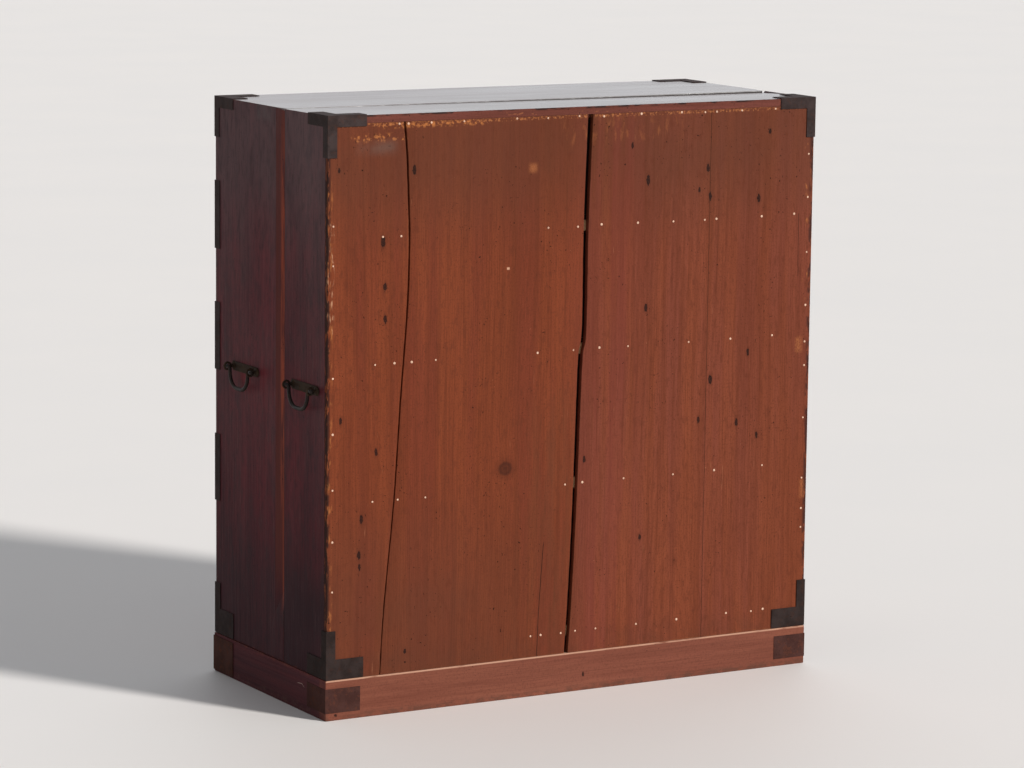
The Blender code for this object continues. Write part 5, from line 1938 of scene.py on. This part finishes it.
@dataclass
class LockPlate:
    """The iron plate round the keyhole, with a raised rim and nails."""

    width: float = 0.092
    height: float = 0.066
    cut: float = 0.014
    thick: float = 0.0010
    rim: float = 0.0045
    rim_thick: float = 0.0008
    key_width: float = 0.0056
    key_tall: float = 0.0160
    key_ease: float = 0.0006
    nail_radius: float = 0.0018
    rose_radius: float = 0.0150
    rose_thick: float = 0.0008

    def outline(self, inset: float, middle: float) -> Ring:
        """The plate's outline with cut corners, drawn in by an inset."""
        half, high = self.width / 2 - inset, self.height / 2 - inset
        cut = self.cut - inset * 0.6
        corners = [
            (-half, cut - high), (cut - half, -high), (half - cut, -high), (half, cut - high),
            (half, high - cut), (half - cut, high), (cut - half, high), (-half, high - cut),
        ]
        return [(u, v + middle) for u, v in corners]

    def keyhole(self, head: float) -> Ring:
        """The key's way, upright with a pointed head."""
        half = self.key_width / 2 + self.key_ease
        foot = head - self.key_tall - self.key_ease
        return [(-half, foot), (half, foot), (half, head - half), (0.0, head + self.key_ease), (-half, head - half)]

    def build(self, iron: bpy.types.Material) -> None:
        """Make the plate on the top drawer."""
        low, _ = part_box("drawer_4_front")
        key_head = 0.950
        middle = key_head - self.key_tall / 2
        face = low.y - AIR
        bm = bmesh.new()
        circle = [
            (self.rose_radius * math.cos(math.tau * step / 24), middle + self.rose_radius * math.sin(math.tau * step / 24))
            for step in range(24)
        ]
        key = self.keyhole(key_head)
        layers = (
            ([self.outline(0.0, middle), key], self.thick, 0.0),
            ([self.outline(0.0006, middle), self.outline(self.rim, middle)], self.rim_thick, self.thick),
            ([circle, key], self.rose_thick, self.thick),
        )
        for rings, thick, start in layers:
            plane = frame_of((1, 0, 0), (0, 0, 1), (0, face - start - thick / 2, 0))
            layer = plate_mesh("lock_layer", rings, thick, plane)
            bm.from_mesh(layer)
            bpy.data.meshes.remove(layer)
        arrises = [edge for edge in bm.edges if edge.calc_face_angle(0.0) > BEVEL_ANGLE]
        bmesh.ops.bevel(bm, geom=arrises, offset=0.00025, segments=1, profile=0.5, affect="EDGES")
        head = rounded_head(self.nail_radius, 0.0008, 0.0004)
        reach = self.rim + 2 * self.nail_radius
        for sx in (1, -1):
            for u in (self.width / 2 - reach, self.width / 6):
                for sz in (1, -1):
                    drop = reach if u < self.width / 4 else self.cut + self.nail_radius
                    spot = Vector((sx * u, face - self.thick, middle + sz * (self.height / 2 - drop)))
                    add_turned(bm, spot, Vector((0, -1, 0)), head, 12)
        add_piece("lock_plate", mesh_of("lock_plate", bm, smooth=True), "drawer_4", iron)


@dataclass
class Drawers:
    """The four drawers and the top one's lock plate."""

    scene: dict
    count: int = 4

    def build(self) -> None:
        """Dress all the drawers with shared iron and peg materials."""
        iron = DARK_IRON.material("drawer_iron", 5.2)
        pegs = PegWood(heart=(0.40, 0.26, 0.15), rim=(0.22, 0.13, 0.07)).material("drawer_peg_wood")
        for number in range(1, self.count + 1):
            Drawer(number, self.scene, iron, pegs).build()
        LockPlate().build(iron)


@dataclass
class Ironwork:
    """Thin irons that only the looks have: straps, plinth plates, and nails."""

    strap_heights: tuple[float, ...] = (0.799, 0.590, 0.361)
    strap_tall: float = 0.117
    strap_side: float = 0.018
    strap_front: float = 0.0194
    plinth_front_reach: float = 0.075
    plinth_front_tall: float = 0.060
    plinth_front_foot: float = 0.003
    plinth_rear_reach: float = 0.064
    plinth_side_reach: float = 0.067
    plinth_rear_tall: float = 0.041
    plinth_rear_foot: float = 0.013
    plate_thickness: float = 0.0010
    thin_plate: float = 0.0005
    thin_air: float = 0.0001
    thin_nail: float = 0.0003
    rear_set_in: float = 0.0009
    nail_radius: float = 0.0022
    nail_margin: float = 0.008

    def corner(
        self, name: str, edge: Vector, inward: tuple[float, float], reach: tuple[float, float], foot: float,
        head: float, material: bpy.types.Material, air: float = AIR, nail_height: float = 0.0005,
    ) -> None:
        """One plate folded round an upright corner, with its nails.

        Args:
            name: the piece's name.
            edge: the corner that it goes round.
            inward: signs of x and y toward the chest's middle.
            reach: length of its two leaves, across and deep.
            foot: its lower edge.
            head: its upper edge.
            material: its finish.
            air: space between it and the wood.
            nail_height: how far its nails stand out.
        """
        lift = air
        thick = self.plate_thickness if air >= AIR else self.thin_plate
        sx, sy = inward
        out = lift + thick
        x0, y0 = edge.x - sx * out, edge.y - sy * out
        outline = [
            (x0, y0), (edge.x + sx * reach[0], y0), (edge.x + sx * reach[0], edge.y - sy * lift),
            (edge.x - sx * lift, edge.y - sy * lift), (edge.x - sx * lift, edge.y + sy * reach[1]),
            (x0, edge.y + sy * reach[1]),
        ]
        bm = bmesh.new()
        add_loft(bm, [[Vector((x, y, z)) for x, y in outline] for z in (foot, head)])
        arrises = [edge_item for edge_item in bm.edges if edge_item.calc_face_angle(0.0) > BEVEL_ANGLE]
        bmesh.ops.bevel(bm, geom=arrises, offset=0.0003, segments=1, profile=0.5, affect="EDGES")
        profile = rounded_head(self.nail_radius, nail_height, thick / 2)
        margin = self.nail_margin
        for height in (foot + 0.2 * (head - foot), head - 0.2 * (head - foot)):
            if reach[0] > 3 * margin:
                place = Vector((edge.x + sx * (reach[0] - margin), y0, height))
                add_turned(bm, place, Vector((0, -sy, 0)), profile, 12)
            place = Vector((x0, edge.y + sy * (reach[1] - min(margin, reach[1] / 2)), height))
            add_turned(bm, place, Vector((-sx, 0, 0)), profile, 12)
        add_piece(name, mesh_of(name, bm, smooth=True), "chest", material)

    def build(self) -> None:
        """Make the straps and the plinth's plates."""
        dark = DARK_IRON.material("strap_iron", 2.9)
        # The front plates take the copy painted lighter for shade, and the rear straps the copy painted darker for
        # light.
        rusty = RUSTY_IRON_LIGHTENED_FOR_SHADE.material("plinth_iron", 4.1)
        strap = RUSTY_IRON_DARKENED_FOR_LIGHT.material("plinth_strap_iron", 7.3)
        low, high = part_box("side_right_front_board")
        front_y, side_x = low.y, high.x
        plinth_low, plinth_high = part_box("plinth_right_rail")
        for side, sign in (("right", 1), ("left", -1)):
            for number, middle in enumerate(self.strap_heights, start=1):
                name = "edge_strap_" + side + "_" + str(number)
                edge = Vector((sign * side_x, front_y, 0))
                self.corner(
                    name, edge, (-sign, 1), (self.strap_front, self.strap_side),
                    middle - self.strap_tall / 2, middle + self.strap_tall / 2, dark,
                )
            front_edge = Vector((sign * plinth_high.x, plinth_low.y, 0))
            self.corner(
                "plinth_plate_front_" + side, front_edge, (-sign, 1),
                (self.plinth_front_reach, self.plinth_front_reach), self.plinth_front_foot,
                self.plinth_front_foot + self.plinth_front_tall, rusty,
            )
            rear_edge = Vector((sign * plinth_high.x, plinth_high.y - self.rear_set_in, 0))
            self.corner(
                "plinth_strap_rear_" + side, rear_edge, (-sign, -1),
                (self.plinth_rear_reach, self.plinth_side_reach), self.plinth_rear_foot,
                self.plinth_rear_foot + self.plinth_rear_tall, strap, self.thin_air, self.thin_nail,
            )


@dataclass
class Studio:
    """Camera at the photograph's angle, plain pale floor and soft light."""

    camera_place: Place = (3.3718, 5.8711, 1.5658)
    yaw: float = math.radians(29.874)
    pitch: float = math.radians(8.944)
    roll: float = math.radians(0.618)
    lens: float = 138.74
    sensor: float = 36.0
    floor_reach: float = 40.0
    floor_colour: Colour = (0.83, 0.80, 0.78)
    floor_shade: Colour = (0.79, 0.77, 0.76)
    world_colour: Colour = (0.82, 0.84, 0.87)
    fill_share: float = 0.29
    key_from: Place = (-0.47, 0.79, 0.52)
    key_strength: float = 3.85
    key_spread: float = math.radians(7.0)
    key_colour: Colour = (1.0, 0.97, 0.93)
    front_from: Place = (-0.55, -0.95, 0.36)
    front_strength: float = 0.85
    front_spread: float = math.radians(70.0)
    front_colour: Colour = (0.95, 0.97, 1.0)

    def camera(self) -> None:
        """Set the camera as the photograph was taken."""
        forward = Vector((-math.sin(self.yaw), -math.cos(self.yaw), 0))
        right = Vector((-math.cos(self.yaw), math.sin(self.yaw), 0))
        up = Vector((0, 0, 1))
        ahead = forward * math.cos(self.pitch) - up * math.sin(self.pitch)
        level = up * math.cos(self.pitch) + forward * math.sin(self.pitch)
        x_axis = right * math.cos(self.roll) + level * math.sin(self.roll)
        y_axis = level * math.cos(self.roll) - right * math.sin(self.roll)
        data = bpy.data.cameras.new("photo_camera")
        data.lens = self.lens
        data.sensor_width = self.sensor
        data.sensor_fit = "HORIZONTAL"
        camera = bpy.data.objects.new("photo_camera", data)
        bpy.context.scene.collection.objects.link(camera)
        turn = Matrix((x_axis, y_axis, -ahead)).transposed().to_4x4()
        camera.matrix_world = Matrix.Translation(Vector(self.camera_place)) @ turn
        bpy.context.scene.camera = camera

    def floor(self) -> None:
        """A wide plain floor."""
        reach = self.floor_reach
        mesh = bpy.data.meshes.new("studio_floor")
        mesh.from_pydata([(-reach, -reach, 0), (reach, -reach, 0), (reach, reach, 0), (-reach, reach, 0)], [], [(0, 1, 2, 3)])
        floor = bpy.data.objects.new("studio_floor", mesh)
        bpy.context.scene.collection.objects.link(floor)
        sheet = NodeSheet("studio_floor")
        cloud = sheet.noise(sheet.place(), 1.7, 3.0)
        paint = sheet.mix(cloud, self.floor_colour, self.floor_shade)
        mesh.materials.append(sheet.finish(paint, 0.62, 0.0, sheet.bump(cloud, 0.001, 0.1)))

    def world(self) -> None:
        """A pale surround that fills the shadows softly."""
        world = bpy.data.worlds.new("studio")
        bpy.context.scene.world = world
        world.use_nodes = True
        tree = world.node_tree
        background = tree.nodes["Background"]
        background.inputs["Color"].default_value = (*self.world_colour, 1.0)
        path = tree.nodes.new("ShaderNodeLightPath")
        seen = tree.nodes.new("ShaderNodeMath")
        seen.operation = "MAXIMUM"
        tree.links.new(path.outputs["Is Camera Ray"], seen.inputs[0])
        tree.links.new(path.outputs["Is Glossy Ray"], seen.inputs[1])
        clear = tree.nodes.new("ShaderNodeMath")
        clear.operation = "MAXIMUM"
        tree.links.new(seen.outputs[0], clear.inputs[0])
        tree.links.new(path.outputs["Is Transmission Ray"], clear.inputs[1])
        level = tree.nodes.new("ShaderNodeMapRange")
        level.inputs[3].default_value = self.fill_share
        level.inputs[4].default_value = 1.0
        tree.links.new(clear.outputs[0], level.inputs[0])
        tree.links.new(level.outputs[0], background.inputs["Strength"])

    def sun(self, name: str, source: Place, strength: float, spread: float, colour: Colour, glints: bool) -> None:
        """Add an even light from one direction.

        Args:
            name: its name.
            source: direction that it comes from.
            strength: its strength.
            spread: the angle that it fills, which softens its shadows.
            colour: its colour.
            glints: whether it shows in glossy surfaces.
        """
        data = bpy.data.lights.new(name, "SUN")
        data.energy = strength
        data.angle = spread
        data.color = colour
        lamp = bpy.data.objects.new(name, data)
        bpy.context.scene.collection.objects.link(lamp)
        lamp.matrix_world = Vector(source).to_track_quat("Z", "Y").to_matrix().to_4x4()
        lamp.visible_glossy = glints

    def build(self) -> None:
        """Set up the whole studio."""
        self.camera()
        self.floor()
        self.world()
        self.sun("key_light", self.key_from, self.key_strength, self.key_spread, self.key_colour, True)
        self.sun("front_light", self.front_from, self.front_strength, self.front_spread, self.front_colour, False)
        scene = bpy.context.scene
        scene.view_settings.view_transform = "Standard"


def main() -> None:
    """Load the frame and dress it."""
    logging.basicConfig(level=logging.INFO, format="%(message)s")
    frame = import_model()
    Studio().build()
    Case(scene=frame).build()
    BackBoards().build()
    BackPegs().build()
    TopRearBoard().build()
    Handles().build()
    Drawers(frame).build()
    Ironwork().build()


if __name__ == "__main__":
    main()
